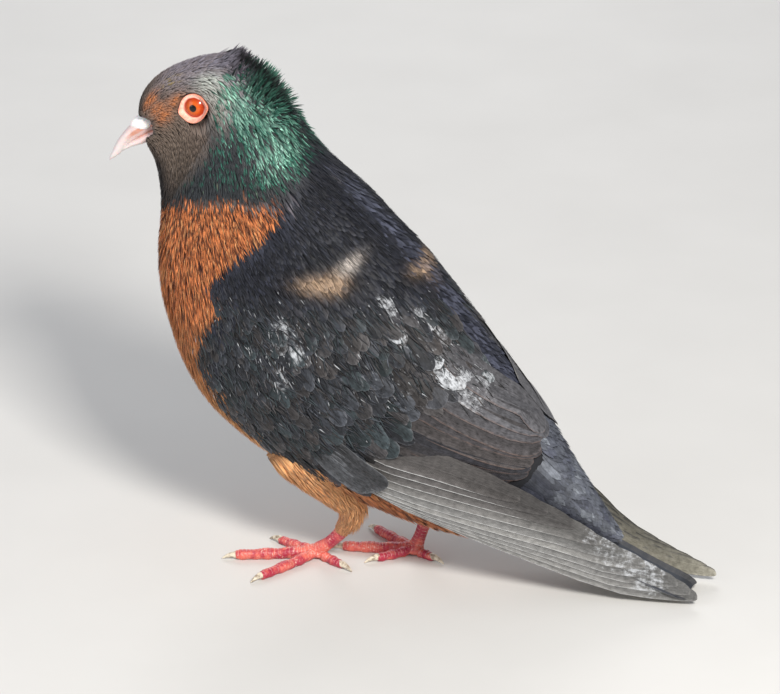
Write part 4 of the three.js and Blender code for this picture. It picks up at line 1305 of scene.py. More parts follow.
def barb_keep(a, b, point):
    """On the coverts everywhere, and further back only where the chalky dirt lies."""
    behind = (point[..., 0] - 30) - (point[..., 2] - 74) * 0.9
    on_wing = inside(WING_CURVE, point[..., 0], point[..., 2]) & (point[..., 1] < -WING_SPACE)
    return on_wing & ((behind < 0) | ((chalk_on(point) > 0.3) & (behind < 30)))


def loose_barbs(name, mirror, seed):
    """Hair-fine strands that break up the coverts' outlines; some of them carry the dirt."""
    turns = (math.radians(-150), math.radians(-8))
    a, b = scatter(form, (8.8, 18.0), turns, barb_pitch, barb_keep, seed)
    rng = np.random.default_rng(seed + 1)
    root = form(a, b)
    upper = smooth(*BARB_SHOULDER, root[:, 2])
    dirt = chalk_on(root, CHALK_SHIFT * mirror) * (0.4 if mirror else 0.7)
    dirt = dirt + 0.04 * smooth(150, 130, root[:, 2])
    white = rng.random(len(a)) < np.clip(dirt, 0, 0.8)
    length = rng.uniform(5, 12, len(a)) * np.where(white, rng.uniform(0.15, 0.6, len(a)), 1)
    width = rng.uniform(0.4, 0.9, len(a))
    stations, profile = STRAND
    angle = lie_angle(root) + rng.normal(0, 1, len(a)) * (0.3 - 0.2 * upper)
    point, normal, side = wing_spines(a, b, length, angle, stations)
    lift = rng.uniform(0.9, 1.7, len(a)) - 0.4 * upper
    height = -0.4 + (lift + 0.4)[:, None] * stations ** 0.6
    tint = wing_markings(point, seed)
    tint[..., :3] *= rng.uniform(0.55, 1.7, (len(a), 1, 1))
    share = white * rng.uniform(0.1, 0.75, len(a))
    tint[..., :3] = blend(tint[..., :3], srgb(196, 198, 202), share[:, None])
    return feathers(name, point, normal, side, 0.5 * width[:, None] * profile, height,
                    dict(HAIR, stations=stations), tint, bake_place(a, b), mirror=mirror,
                    sharp=False, seed=seed)


# %% [markdown]
# ## Long quills
#
# A quill's vane is broad and flat, so each gets more stations and columns, two widths, one for
# the outer and one for the inner vane, and a shaft that stands up. The spine is a curve on the
# wing: for the secondaries a path on the form, for the primaries a path on the blade, a surface
# between a lower and an upper edge that bulges outwards.

# %% Quill shapes
QUILL = {"columns": 8, "camber": 0.05, "thickness": 0.28, "shaft": 0.2, "ragged": 0.015, "rim_end": 0.965,
         "under": np.append(srgb(176, 172, 158), 0)}
QUILL_STATIONS = np.array([0, 0.06, 0.14, 0.24, 0.35, 0.46, 0.57, 0.67, 0.76, 0.84, 0.9, 0.945, 0.975,
                           0.993, 1.0])
ROUND_TIP = np.array([0.35, 0.6, 0.82, 0.94, 1, 1, 1, 1, 0.99, 0.96, 0.88, 0.73, 0.5, 0.25, 0])
SLIM_TIP = np.array([0.35, 0.6, 0.85, 1, 1, 0.99, 0.97, 0.93, 0.87, 0.77, 0.66, 0.52, 0.37, 0.19, 0])
BLADE = np.array([  # lower edge x, y, z, upper edge x, y, z, bulge
    [16, -40, 58, 26, -37.5, 80, 1.0], [30, -38.5, 51, 40, -36.5, 72, 1.5],
    [50, -36.5, 40, 66, -32.5, 66, 3], [78, -30, 26.5, 92, -24.5, 56, 3.5],
    [106, -23.5, 14, 114, -17, 44, 3.5],
    [134, -18, 3.2, 134, -10.5, 29, 3], [152, -14.5, -0.3, 150, -8.5, 20.5, 2.4],
    [167, -12.2, -0.3, 162, -9, 14, 1.6], [174, -11.2, 1.6, 171, -10.2, 8, 0.9],
], float)


def blade(u, v):
    """lower + (upper - lower) * v, bulging outwards by bulge * sqrt(1 - (2 v - 1)^2)."""
    row = between(BLADE, np.asarray(u) * (len(BLADE) - 1))
    half = 0.5 * (row[..., 3:6] - row[..., 0:3])
    middle = 0.5 * (row[..., 3:6] + row[..., 0:3])
    out = unit(np.stack([0 * half[..., 0], -half[..., 2], half[..., 1]], -1))
    s = 2 * np.asarray(v) - 1
    bulge = row[..., 6] * np.sqrt(np.clip(1 - s * s, 0.02, 1))
    return middle + half * s[..., None] + out * bulge[..., None]


def atlas(count):
    """Places for quills on the bake map: one small cell for each, eight to a row."""
    index = np.arange(count)
    columns = 8
    rows = -(-count // columns)
    return np.stack([(index % columns + 0.5) / columns, (index // columns + 0.5) / rows], -1)


def quills(name, point, normal, low, high, height, tip, tint, seed, mirror, chalk=None,
           rim_on="outer", **style):
    """Quills from spines given as points and normals, with low and high vane widths."""
    ahead = unit(np.gradient(point, axis=1))
    normal = unit(normal - (normal * ahead).sum(-1, keepdims=True) * ahead)
    side = np.cross(normal, ahead)
    return feathers(name, point, normal, side, (low[:, None] * tip, high[:, None] * tip), height,
                    dict(QUILL, stations=QUILL_STATIONS, **style), tint, atlas(len(point)), chalk=chalk,
                    mirror=mirror, rim_on=rim_on, seed=seed)


def along_quills(colour, shade):
    """Matt colours of quills, times a shade for each station."""
    tint = np.repeat(matt(colour)[:, None], len(QUILL_STATIONS), 1)
    tint[..., :3] *= shade[None, :, None]
    return tint


# %% The ten primaries
PRIMARY_TIP = np.array([0.41, 0.475, 0.54, 0.605, 0.675, 0.745, 0.815, 0.885, 0.95, 1.0])


def primaries(name, mirror, seed):
    """Each leaves the root low or high on the blade and ends at its tip's u, near the upper edge.

    The inner ones fan out evenly, and the outer ones lie close together along the lower edge."""
    rng = np.random.default_rng(seed)
    order = np.linspace(0, 1, len(PRIMARY_TIP))
    start_v = np.array([0.9, 0.74, 0.57, 0.41, 0.28, 0.19, 0.13, 0.09, 0.06, 0.04])
    end_v = np.interp(order, [0, 0.6, 0.85, 1], [0.86, 0.84, 0.7, 0.42])
    u = PRIMARY_TIP[:, None] * QUILL_STATIONS
    v = start_v[:, None] + (end_v - start_v)[:, None] * QUILL_STATIONS ** 1.7
    point, _, _, normal = frame_of(blade, u, v)
    normal = normal * np.sign(-normal[..., 1:2])
    height = (-0.36 * np.arange(len(order)))[:, None] + 0.25 * QUILL_STATIONS ** 3
    low = np.interp(order, [0, 0.4, 1], [5.0, 4.6, 2.6])
    high = np.interp(order, [0, 0.5, 1], [7.5, 8.5, 7.5])
    brown, grey, dark = srgb(78, 75, 74), srgb(132, 131, 129), srgb(74, 75, 77)
    base = blend(brown, grey, smooth(0.15, 0.5, order))
    base = blend(base, dark, 0.5 * rng.random(len(order)) * (order > 0.1))
    tint = along_quills(base, 1.08 - 0.35 * smooth(0.55, 1, QUILL_STATIONS))
    chalk = 0.16 + chalk_on(point) * (RIGHT_CHALK if mirror else 0.5)
    return quills(name, point, normal, low, high, height, SLIM_TIP, tint, seed, mirror, chalk, shaft=0.12,
                  camber=0.03, ragged=0.008, rim_fade=0.12)


# %% The secondaries and tertials
SECONDARIES = 10


def parabola(root, middle, tip):
    """root * (1 - t)^2 + 2 middle * t (1 - t) + tip * t^2, with t the quills' stations."""
    t = QUILL_STATIONS[None, :, None]
    return root[:, None] * (1 - t) ** 2 + 2 * middle[:, None] * t * (1 - t) + tip[:, None] * t ** 2


def secondaries(name, mirror, seed):
    """Parabolas in side view, laid on the form, from the lowest to the innermost on top."""
    rng = np.random.default_rng(seed)
    order = np.linspace(0, 1, SECONDARIES)
    root = np.stack([np.interp(order, [0, 1], [22, 60]), np.interp(order, [0, 1], [79.5, 116])], -1)
    tip = np.stack([np.interp(order, [0, 0.3, 0.6, 1], [93, 99, 102.5, 104]),
                    np.interp(order, [0, 0.3, 0.6, 1], [57, 60, 67, 78])], -1)
    tip += rng.uniform(-1.6, 1.6, tip.shape)
    middle = 0.5 * (root + tip) + np.stack([-1.5 + 0 * order, -7.5 + 6.5 * order], -1)
    flat = parabola(root, middle, tip)
    point, _, _, normal = frame_of(form, *wing_place(flat[..., 0], flat[..., 1]))
    height = (-0.9 + 1.5 * order)[:, None] + 0.5 * QUILL_STATIONS ** 2
    low = np.interp(order, [0, 0.6, 1], [4.6, 5.0, 8.0]) * rng.uniform(0.88, 1.12, SECONDARIES)
    high = np.interp(order, [0, 0.6, 1], [8.0, 8.5, 8.0])
    colour = blend(srgb(70, 66, 66), srgb(46, 46, 51), rng.random(SECONDARIES))
    colour = blend(colour, srgb(98, 98, 102), 0.7 * smooth(0.6, 1, order))
    chalk = chalk_on(point) * (RIGHT_CHALK if mirror else 0.62)
    return quills(name, point, normal, low, high, height, ROUND_TIP, matt(colour), seed, mirror, chalk)


# %% Alula and primary coverts
def alula(name, mirror, seed):
    """Five feathers over the root of the primaries; the top one is the longest and rounds the lobe."""
    order = np.array([0, 0.2, 0.42, 0.7, 1.0])
    root = np.stack([8 + 7 * order, -38 - 1.2 * order, 66 + 9 * order], -1)
    tip = np.stack([31.5 + 11 * order ** 0.8, -38.8 - 1.8 * order, 51 + 6 * order], -1)
    middle = 0.5 * (root + tip) + np.array([0, -1.6, -1.2])
    point = parabola(root, middle, tip)
    normal = np.broadcast_to(unit(np.array([0.05, -1.0, -0.34])), point.shape)
    height = (0.2 + 1.2 * order)[:, None] + 0.3 * QUILL_STATIONS ** 2
    low, high = 3.4 + 4.6 * order, 5.6 - 1.6 * order
    colour = blend(srgb(78, 80, 84), srgb(60, 61, 64), order ** 0.7)
    colour = colour * np.random.default_rng(seed).uniform(0.88, 1.12, (len(order), 1))
    chalk = 0.22 * np.broadcast_to(1 - QUILL_STATIONS, point.shape[:2])
    return quills(name, point, normal, low, high, height, ROUND_TIP, matt(colour), seed, mirror, chalk,
                  rim_on="both", camber=0.03, shaft=0.12, ragged=0.03)


# %% Both wings
COVERT_FINISH = plume_material("covert_feathers", 0.5, 0.25, rim=paint(114, 114, 118), rim_amount=0.34,
                               rim_from=0.74, mottle=2.0, bump=0.3, rim_light=0.5)
SECONDARY_FINISH = plume_material("secondary_quills", 0.5, 0.75, rim=paint(122, 96, 82), rim_amount=0.32,
                                  rim_from=0.86, rim_break=0.3, mottle=1.8, bump=0.3, density=7.0,
                                  rim_light=0.4)
PRIMARY_FINISH = plume_material("primary_quills", 0.5, 0.8, rim=paint(190, 190, 190), rim_amount=0.8,
                                rim_from=0.9, rim_break=0.12, mottle=1.1, bump=0.3, density=7.0,
                                rim_light=0.5)
ALULA_FINISH = plume_material("alula_quills", 0.5, 0.6, rim=paint(126, 128, 132), rim_amount=0.5,
                              rim_from=0.86, rim_break=0.25, mottle=2.2, bump=0.35, rim_light=0.6)
BARB_FINISH = plume_material("loose_barbs", 0.6, 0.6, mottle=0.6)
BED_FINISH = skin_material("wing_skin")
for wing, flip, salt in (("left", False, 0), ("right", True, 100)):
    finish_piece(wing_bed(f"wing_bed_{wing}", flip), BED_FINISH, "wing", f"wing_coverts_{wing}")
    finish_piece(wing_coverts(f"coat_wing_{wing}", flip, 31 + salt), COVERT_FINISH, "wing")
    finish_piece(loose_barbs(f"coat_barbs_{wing}", flip, 36 + salt), BARB_FINISH, "wing")
    finish_piece(secondaries(f"secondaries_{wing}", flip, 41 + salt), SECONDARY_FINISH, "wing",
                 f"wing_secondaries_{wing}")
    finish_piece(primaries(f"primaries_{wing}", flip, 51 + salt), PRIMARY_FINISH, "flight",
                 f"wing_primaries_{wing}")
    finish_piece(alula(f"alula_{wing}", flip, 61 + salt), ALULA_FINISH, "flight")

# %% [markdown]
# ## Tail, crest and thighs
#
# The tail is a closed fan of twelve quills that lies between the wing tips. The crest is a tuft
# of narrow feathers that stand up and back along the nape instead of lying down, with painted
# green glints and painted shade, near-black, in the hollow behind the crown. The thighs carry
# short strands down to the ankle.

# %% The tail
TAIL = np.array([[92, 40, 15, 6], [110, 30, 14, 4.5], [130, 19.5, 13, 2.6], [150, 10.5, 12.5, 1.7],
                 [163, 5.6, 12, 1.2], [168, 4, 9.5, 0.7]], float)
TAIL_QUILLS = 12


def tail_quills():
    """Each quill lies across the fan at a share from -1 to 1, the middle pair on top."""
    share = np.linspace(-1, 1, TAIL_QUILLS)
    share = share[np.argsort(-np.abs(share))]
    reach = (len(TAIL) - 1.0) * QUILL_STATIONS * (1 - 0.04 * np.abs(share)[:, None])
    row = between(TAIL, reach)
    y = share[:, None] * (row[..., 2] - 5.5)
    z = row[..., 1] + row[..., 3] * (0.75 - 0.9 * np.abs(share)[:, None])
    point = np.stack([row[..., 0], y, z], -1)
    normal = np.broadcast_to(unit(np.array([0.45, 0, 1.0])), point.shape)
    height = np.zeros(y.shape)
    wide = np.full(TAIL_QUILLS, 5.6)
    tint = along_quills(np.tile(srgb(66, 70, 78), (TAIL_QUILLS, 1)),
                        1 - 0.5 * smooth(0.72, 0.86, QUILL_STATIONS))
    return quills("tail_quills", point, normal, wide, wide, height, ROUND_TIP, tint, 71, False,
                  rim_on="both", thickness=0.2)


TAIL_FINISH = plume_material("tail_feathers", 0.5, 0.8, rim=paint(120, 118, 118), rim_amount=0.4, mottle=0.4)
finish_piece(tail_quills(), TAIL_FINISH, "tail", "tail")

# %% The crest
CREST_LINE = np.array([  # foot x, z, then the direction of the feathers x, z, and their length
    [-49, 228.3, 0.86, 0.50, 8], [-44, 229.3, 0.78, 0.63, 9], [-39, 229.0, 0.5, 0.86, 7.5],
    [-34.5, 226.5, 0.35, 0.93, 7], [-30, 223, 0.35, 0.93, 8.2], [-26, 219.5, 0.38, 0.92, 9],
    [-22, 215.5, 0.5, 0.85, 8.0], [-18, 211.5, 0.66, 0.5, 6.2], [-14, 206.5, 0.72, -0.3, 6],
    [-8, 199, 0.62, -0.72, 6.5], [-1, 190, 0.58, -0.8, 7],
], float)


def crest():
    """Feathers rooted beside the line of the nape: foot + side offset, bending back as they rise."""
    rng = np.random.default_rng(81)
    count = 2400
    along = rng.uniform(0, 10, count)
    row = between(CREST_LINE, along)
    spread = rng.normal(0, 0.5, count).clip(-1.25, 1.25)
    half = np.interp(along, [0, 2, 4, 6, 8, 10], [5.0, 6.5, 9.5, 11, 11, 12])
    y = spread * half
    sag = -0.5 * y ** 2 / np.interp(along, [0, 10], [17, 25])
    root = np.stack([row[:, 0] + 0.4 * sag, y, row[:, 1] + 0.75 * sag - 1.2], -1)
    direction = unit(np.stack([row[:, 2] + rng.normal(0, 0.1, count),
                               0.3 * spread + rng.normal(0, 0.12, count),
                               row[:, 3] + rng.normal(0, 0.1, count)], -1))
    length = row[:, 4] * rng.uniform(0.6, 1.1, count) * (1 - 0.16 * np.abs(spread))
    stations, profile = POINTED
    back = np.stack([np.ones(count), 0.3 * np.sign(y) * np.abs(spread), -0.35 * np.ones(count)], -1)
    bend = (rng.uniform(0.05, 0.25, count) * length)[:, None, None] * back[:, None]
    bend = bend * (stations ** 2)[None, :, None]
    point = root[:, None] + direction[:, None] * (length[:, None] * stations)[..., None] + bend
    ahead = unit(np.gradient(point, axis=1))
    outward = unit(np.stack([-0.5 * np.ones(count), 1.4 * spread, 0.6 * np.ones(count)], -1))[:, None]
    normal = unit(outward - (outward * ahead).sum(-1, keepdims=True) * ahead)
    side = np.cross(normal, ahead)
    width = rng.uniform(0.5, 1.0, count)
    one, two = rng.random(count), rng.random(count)
    front = smooth(2.6, 1.6, along)
    side_on = smooth(0.1, 0.5, np.abs(spread))
    # The crest's green feathers are painted glints, more of them on the sides.
    lit = (two < 0.3 + 0.5 * side_on) * smooth(2.6, 3.6, along)
    colour = blend(HACKLE * 0.8, blend(GREEN, GREEN_HIGHLIGHT, 0.6 * one), lit * 0.9)
    colour = blend(colour, CROWN * 0.8, smooth(4.6, 3.2, along) * side_on * (one > 0.35))
    # Painted shade: the hollow behind the crown is painted near-black, less on the sides.
    hollow_shade = smooth(1.7, 2.3, along) * smooth(4.8, 3.9, along) * (1 - 0.9 * side_on)
    colour = blend(colour, srgb(18, 18, 20), hollow_shade * (one < 0.85))
    colour = blend(colour, CROWN * 0.9, front * (one > 0.2))
    colour = colour * rng.uniform(0.7, 1.2, count)[:, None]
    tint = np.concatenate([colour, (0.6 * lit * (1 - front))[:, None]], 1)
    place = np.stack([0.5 + 0.36 * spread, 0.02 + 0.96 * along / 10], -1)
    return feathers("coat_crest", point, normal, side, 0.5 * width[:, None] * profile,
                    np.zeros((count, len(stations))), dict(BLADE_LIKE, stations=stations), tint, place,
                    seed=82)


CREST_FINISH = plume_material("crest_hackles", 0.48, 0.35, mottle=0.5, gloss_on_sheen=0.5, specular=0.4)
finish_piece(crest(), CREST_FINISH, "hackle", "crest")

# %% Strands on the thighs
THIGH_FINISH = plume_material("thigh_strands", 0.75, 0.4, mottle=0.4, sheen=0.12)


def thigh_markings(a, b, point, seed):
    rng = np.random.default_rng(seed)
    colour = blend(srgb(232, 176, 122), ORANGE, rng.random(len(a)) * 0.45)
    colour = blend(colour, ORANGE_DEEP_AND_SHADE, 0.4 * (rng.random(len(a)) < 0.07))
    return matt(colour * rng.uniform(0.85, 1.1, len(a))[:, None])


def thigh_pitch(a, b, point):
    narrow = np.interp(a, [0, 3, 6], [1, 0.75, 0.5])
    return 2.0 * narrow, 1.1 * narrow


for side_name, surface in THIGHS.items():
    seed = 91 if side_name == "left" else 92
    thigh_a, thigh_b = scatter(surface, (0.1, 5.6), (-math.pi, math.pi), thigh_pitch,
                               lambda a, b, p: np.ones(len(a), bool), seed)
    rng = np.random.default_rng(seed)
    count = len(thigh_a)
    length = np.interp(thigh_a, [0, 3, 4.5, 5.6], [11, 10, 7, 4.0]) * rng.uniform(0.85, 1.15, count)
    width = np.interp(thigh_a, [0, 3, 6], [1.4, 1.1, 0.8])
    lift = np.interp(thigh_a, [0, 3, 6], [0.8, 0.8, 0.3]) * rng.uniform(0.4, 1.5, count)
    sink = np.interp(thigh_a, [0, 3, 6], [1.8, 1.2, 0.4])
    behind = frame_of(surface, thigh_a, thigh_b)[3][:, 0]
    flare = smooth(0.1, 0.9, behind) * smooth(1.6, 2.6, thigh_a) * smooth(5.0, 4.2, thigh_a)
    lift = lift + 2.6 * flare * rng.uniform(0.4, 1.2, count)
    length = length * (1 + 0.35 * flare)
    swing = rng.normal(0, 0.12, count)
    strands = small_feathers(f"coat_thigh_{side_name}", surface, thigh_a, thigh_b, length, width, lift, sink,
                             swing, STRAND, HAIR, thigh_markings, seed, high=(6, math.pi), sharp=False)
    finish_piece(strands, THIGH_FINISH, "buff")

# %% [markdown]
# ## Eyes and lids
#
# The eye is an orange iris round a small pupil under a clear, wet cornea. Its colour is painted by
# the angle from the way it looks, written as an attribute, and a coat gives the wet highlight. The
# bare lid is a fleshy salmon ring, drawn to a small point in front and behind. Its inner lip rests
# on the eyeball and its outer rim goes down to the skin.

# %% Eyeballs
PUPIL = 1.6  # its radius
CORNEA = 0.3  # how far it stands up
EYE_UNIT = 10  # millimetres to one unit of the eye's attribute


def eye_axes(sign):
    """The middle of the eye, the way that it looks, and the way that is up for it."""
    look = EYE_LOOK * [1, sign, 1]
    centre = np.array([EYE["x"], sign * EYE["y"], EYE["z"]])
    return centre, look, unit(np.array([0, 0, 1.0]) - look[2] * look)


def eyeball(name, sign):
    """A sphere with a raised cornea: r(angle) = radius + CORNEA * exp(-(angle / 0.5)^2)."""
    angle, around = ring_grid(np.linspace(0, math.pi, 49)[1:-1], 64, 0)
    centre, look, up = eye_axes(sign)
    right = np.cross(look, up)
    radius = EYE["radius"] + CORNEA * np.exp(-(angle / 0.5) ** 2)
    ring = up * np.cos(around)[..., None] + right * np.sin(around)[..., None]
    point = centre + radius[..., None] * (look * np.cos(angle)[..., None] + ring * np.sin(angle)[..., None])
    flat, quads, tris = closed_tube(point)
    off = flat - centre
    off = np.linalg.norm(off - (off @ look)[:, None] * look, axis=-1) / EYE_UNIT
    spin = np.arctan2((flat - centre) @ right, (flat - centre) @ up) / math.pi
    behind = ((flat - centre) @ look < 0) * 1.0
    return write_mesh(name, flat, quads, tris, {"part": channels(off, spin, behind)})


def eye_material():
    """Pupil, an amber inner ring, a red-orange iris with fine spokes, and a dark outer line."""
    material, t = new_material("eye")
    off, spin, behind = t.split(t.attribute("part")["Vector"])
    rays = t.node("ShaderNodeCombineXYZ", {0: t.times(spin, 22.0), 1: t.times(off, 3.0)}).outputs[0]
    spokes = t.noise(rays, 2.2, 3.0)
    cloud = t.noise(t.place(), 900.0, 3.0)
    deep, lively, amber, rim = paint(168, 54, 12), paint(214, 96, 22), paint(190, 88, 28), paint(70, 30, 22)
    iris = t.mix(t.step(t.plus(off, t.times(spokes, 0.1)), 0.24, 0.44), lively, deep)
    iris = t.mix(t.times(t.step(spokes, 0.45, 0.7), 0.5), iris, deep)
    ring = t.step(t.plus(off, t.times(cloud, 0.05)), 0.2, 0.29, 1.0, 0.0)
    iris = t.mix(ring, iris, amber)
    pupil = t.step(off, PUPIL / EYE_UNIT - 0.012, PUPIL / EYE_UNIT + 0.008, 1.0, 0.0)
    colour = t.mix(pupil, iris, (0.006, 0.005, 0.005, 1))
    colour = t.mix(t.step(off, 0.45, 0.48), colour, rim)
    colour = t.mix(behind, colour, rim)
    t.surface({"Base Color": colour, "Roughness": 0.25, "Specular IOR Level": 0.2, "Coat Weight": 0.45,
               "Coat Roughness": 0.03})
    return material


EYE_FINISH = eye_material()
for side_name, sign in (("left", -1), ("right", 1)):
    finish_piece(eyeball(f"eyeball_{side_name}", sign), EYE_FINISH, "iris", f"eye_{side_name}")

# %% Lids
LID_INNER = 4.25


def lid(name, sign):
    """A ring in polar form about the look axis. Across it, t runs from the inner lip to the rim.

    Height over the eye's middle: the eyeball at the lip, then a rounded ridge, then the skin."""
    t, around = ring_grid(np.linspace(0, 1, 25), 96, 0)
    centre, look, up = eye_axes(sign)
    front = unit(np.cross(up, look))
    front = front * np.sign(-front[0])

    def drawn_out(degrees):
        off = np.angle(np.exp(1j * (around - math.radians(degrees))))
        return np.exp(-((off / 0.3) ** 2))

    lean = math.radians(-14)
    outer = 6.35 + 0.25 * np.cos(2 * (around - lean)) + 1.1 * drawn_out(-24) + 0.7 * drawn_out(172)
    inner = LID_INNER + 0.12 * np.cos(2 * around) + 0.05 * np.sin(9 * around)
    radius = inner + (outer - inner) * t
    ring = front * np.cos(around)[..., None] + up * np.sin(around)[..., None]
    flat = centre + ring * radius[..., None]
    a, b = places_on_form(flat.reshape(-1, 3))
    on_skin = np.abs(form(a, b)[:, 1]).reshape(t.shape) - EYE["y"]
    on_ball = np.sqrt(np.maximum(EYE["radius"] ** 2 - radius ** 2, 0))
    folds = 0.07 * np.sin(around * 34 + 3 * np.sin(around * 5)) * smooth(0.15, 0.5, t)
    beads = 0.05 * np.sin(around * 60) * smooth(0.5, 0.8, t) * smooth(1, 0.8, t)
    ridge = 0.75 * np.sin(np.pi * np.clip(t * 1.15, 0, 1)) ** 0.7
    base = on_ball + (on_skin - 0.15 - on_ball) * smooth(0.15, 0.95, t)
    height = base + ridge * (1 - 0.4 * t) + folds + beads
    height = np.where(t > 0.96, base - 1.6 * (t - 0.96) / 0.04, height)
    point = flat + look * height[..., None]
    under = flat + look * (base - 1.6)[..., None]
    sheet = np.concatenate([point, under[::-1][1:]])
    rows, columns = sheet.shape[:2]
    here = np.arange(columns)
    there = (here + 1) % columns
    last = (rows - 1) * columns
    seam = np.stack([last + here, last + there, there, here], -1)
    quads = np.concatenate([grid_quads(rows, columns, closed=True), seam])
    quads, _ = facing_out(sheet.reshape(-1, 3), quads, ())
    share = np.concatenate([t, t[::-1][1:]])
    return write_mesh(name, sheet.reshape(-1, 3), quads, (), {"part": channels(share)})


def lid_material():
    """Salmon flesh, redder at the inner lip, pale on the ridge, with fine pimples."""
    material, t = new_material("eyelid")
    across = t.split(t.attribute("part")["Vector"])[0]
    cloud = t.noise(t.place(), 700.0, 3.0)
    pale, salmon, red = paint(246, 200, 180), paint(226, 138, 112), paint(196, 70, 48)
    colour = t.mix(t.step(across, 0.0, 0.35), red, pale)
    colour = t.mix(t.step(across, 0.6, 1.0), colour, salmon)
    colour = t.mix(t.times(t.step(cloud, 0.45, 0.75), 0.5), colour, salmon)
    t.surface({"Base Color": colour, "Roughness": 0.42, "Subsurface Weight": 0.15,
               "Subsurface Scale": 0.002, "Normal": t.relief(t.cells(1600.0), 0.35, 0.0002)})
    return material


LID_FINISH = lid_material()
for side_name, sign in (("left", -1), ("right", 1)):
    finish_piece(lid(f"lid_{side_name}", sign), LID_FINISH, "lid", f"eye_ring_{side_name}")

# %% [markdown]
# ## Bill and cere
#
# The bill is two horn sheaths, the upper with a hooked tip that closes over the lower, and a pink
# wedge of soft skin runs along the gape. Each sheath is a row of ovals carried along its curve.
# The cere is a powdery white swelling of two lobes over the nostrils.

# %% Horn sheaths
BILL_UPPER = np.array([  # side view x, z, half-height across the curve, half-width
    [-69.5, 197.6, 3.4, 4.4], [-74.2, 197.2, 3.6, 4.4], [-78.1, 195.6, 3.7, 4.4], [-81.4, 193.3, 3.6, 4.1],
    [-84.6, 190.8, 3.0, 3.6], [-88.1, 187.4, 2.4, 2.9], [-90.2, 184.5, 2.2, 2.4], [-92.4, 181.0, 1.7, 1.7],
    [-94.4, 178.4, 0.95, 1.0], [-95.8, 176.7, 0.3, 0.3],
])
BILL_LOWER = np.array([
    [-69.5, 192.6, 2.8, 4.4], [-73.0, 191.6, 2.7, 4.2], [-77.4, 189.6, 2.3, 4.0], [-80.9, 187.5, 1.9, 3.4],
    [-84.7, 185.4, 1.25, 2.6], [-87.5, 183.4, 0.8, 1.7], [-89.6, 181.7, 0.35, 0.7],
])


def sheath(name, rows, upper):
    """Ovals across a curve in the middle plane: y = wide * sin, height = high * cos, squared a
    little towards the gape, where the cutting edge is drawn inwards under a fine ridge."""
    a, b = ring_grid(np.linspace(0, len(rows) - 1, 64), 48)
    row = between(rows, a)
    ahead = between(rows, a + 0.02)[..., :2] - between(rows, a - 0.02)[..., :2]
    ahead = ahead / np.linalg.norm(ahead, axis=-1, keepdims=True)
    cosine, sine = np.cos(b), np.sin(b)
    gape = smooth(-0.1, -0.95, cosine) if upper else smooth(0.1, 0.95, cosine)
    high = row[..., 2] * cosine * (1 + 0.12 * gape)
    wide = row[..., 3] * sine * (1 - 0.06 * gape)
    ridge_at = -0.35 if upper else 0.35
    lip = 0.14 * np.exp(-((cosine - ridge_at) / 0.14) ** 2) * smooth(len(rows) - 1.2, 3, a)
    wide = wide * (1 + lip / np.maximum(row[..., 3], 0.5))
    point = np.stack([row[..., 0] + ahead[..., 1] * high, wide, row[..., 1] - ahead[..., 0] * high], -1)
    if upper:
        nostril = np.exp(-((a - 4.0) / 0.32) ** 2 - ((np.abs(b) - 1.35) / 0.22) ** 2)
        point[..., 1] -= 0.45 * nostril * np.sign(point[..., 1])
    flat, quads, tris = closed_tube(point)
    share = np.concatenate([(a / (len(rows) - 1)).ravel(), [0, 1]])
    level = np.concatenate([cosine.ravel(), [0, 0]])
    return write_mesh(name, flat, quads, tris, {"part": channels(share, level * 0.5 + 0.5)})


def horn_material(name, upper):
    """Pinkish horn, paler forward and grey at the very tip, with an orange-pink wedge on the gape
    and fine growth lines."""
    material, t = new_material(name)
    share, level, _ = t.split(t.attribute("part")["Vector"])
    cloud = t.noise(t.place(), 420.0, 4.0)
    lines = t.noise(t.place(), 260.0, 4.0, 0.6, (0.5, 3.0, 2.4))
    pale, pink, grey = paint(230, 218, 216), paint(224, 192, 187), paint(150, 138, 138)
    colour = t.mix(t.step(share, 0.2, 0.75), pink, pale)
    if upper:
        along_gape = t.times(t.step(level, 0.24, 0.36), t.step(level, 0.5, 0.62, 1.0, 0.0))
        soft = t.times(along_gape, t.step(share, 0.42, 0.56, 1.0, 0.0))
    else:
        soft = t.times(t.step(level, 0.7, 0.9), t.step(share, 0.4, 0.7, 1.0, 0.0))
    colour = t.mix(t.times(soft, 0.9), colour, paint(204, 136, 110))
    colour = t.mix(t.times(t.step(lines, 0.45, 0.75), 0.4), colour, pink)
    colour = t.mix(t.times(t.step(share, 0.9, 1.0), 0.45), colour, grey)
    colour = t.mix(t.times(t.step(cloud, 0.55, 0.8), 0.25), colour, grey)
    t.surface({"Base Color": colour, "Roughness": 0.34, "Subsurface Weight": 0.12,
               "Subsurface Scale": 0.002, "Normal": t.relief(lines, 0.15)})
    return material


for half, rows, upper in (("upper", BILL_UPPER, True), ("lower", BILL_LOWER, False)):
    finish_piece(sheath(f"bill_sheath_{half}", rows, upper), horn_material(f"{half}_horn", upper),
                 "horn", f"bill_{half}")


# %% The cere
CERE = {"x": -79.4, "z": 195.9, "long": 6.7, "high": 3.5, "wide": 5.8, "tilt": math.radians(20)}


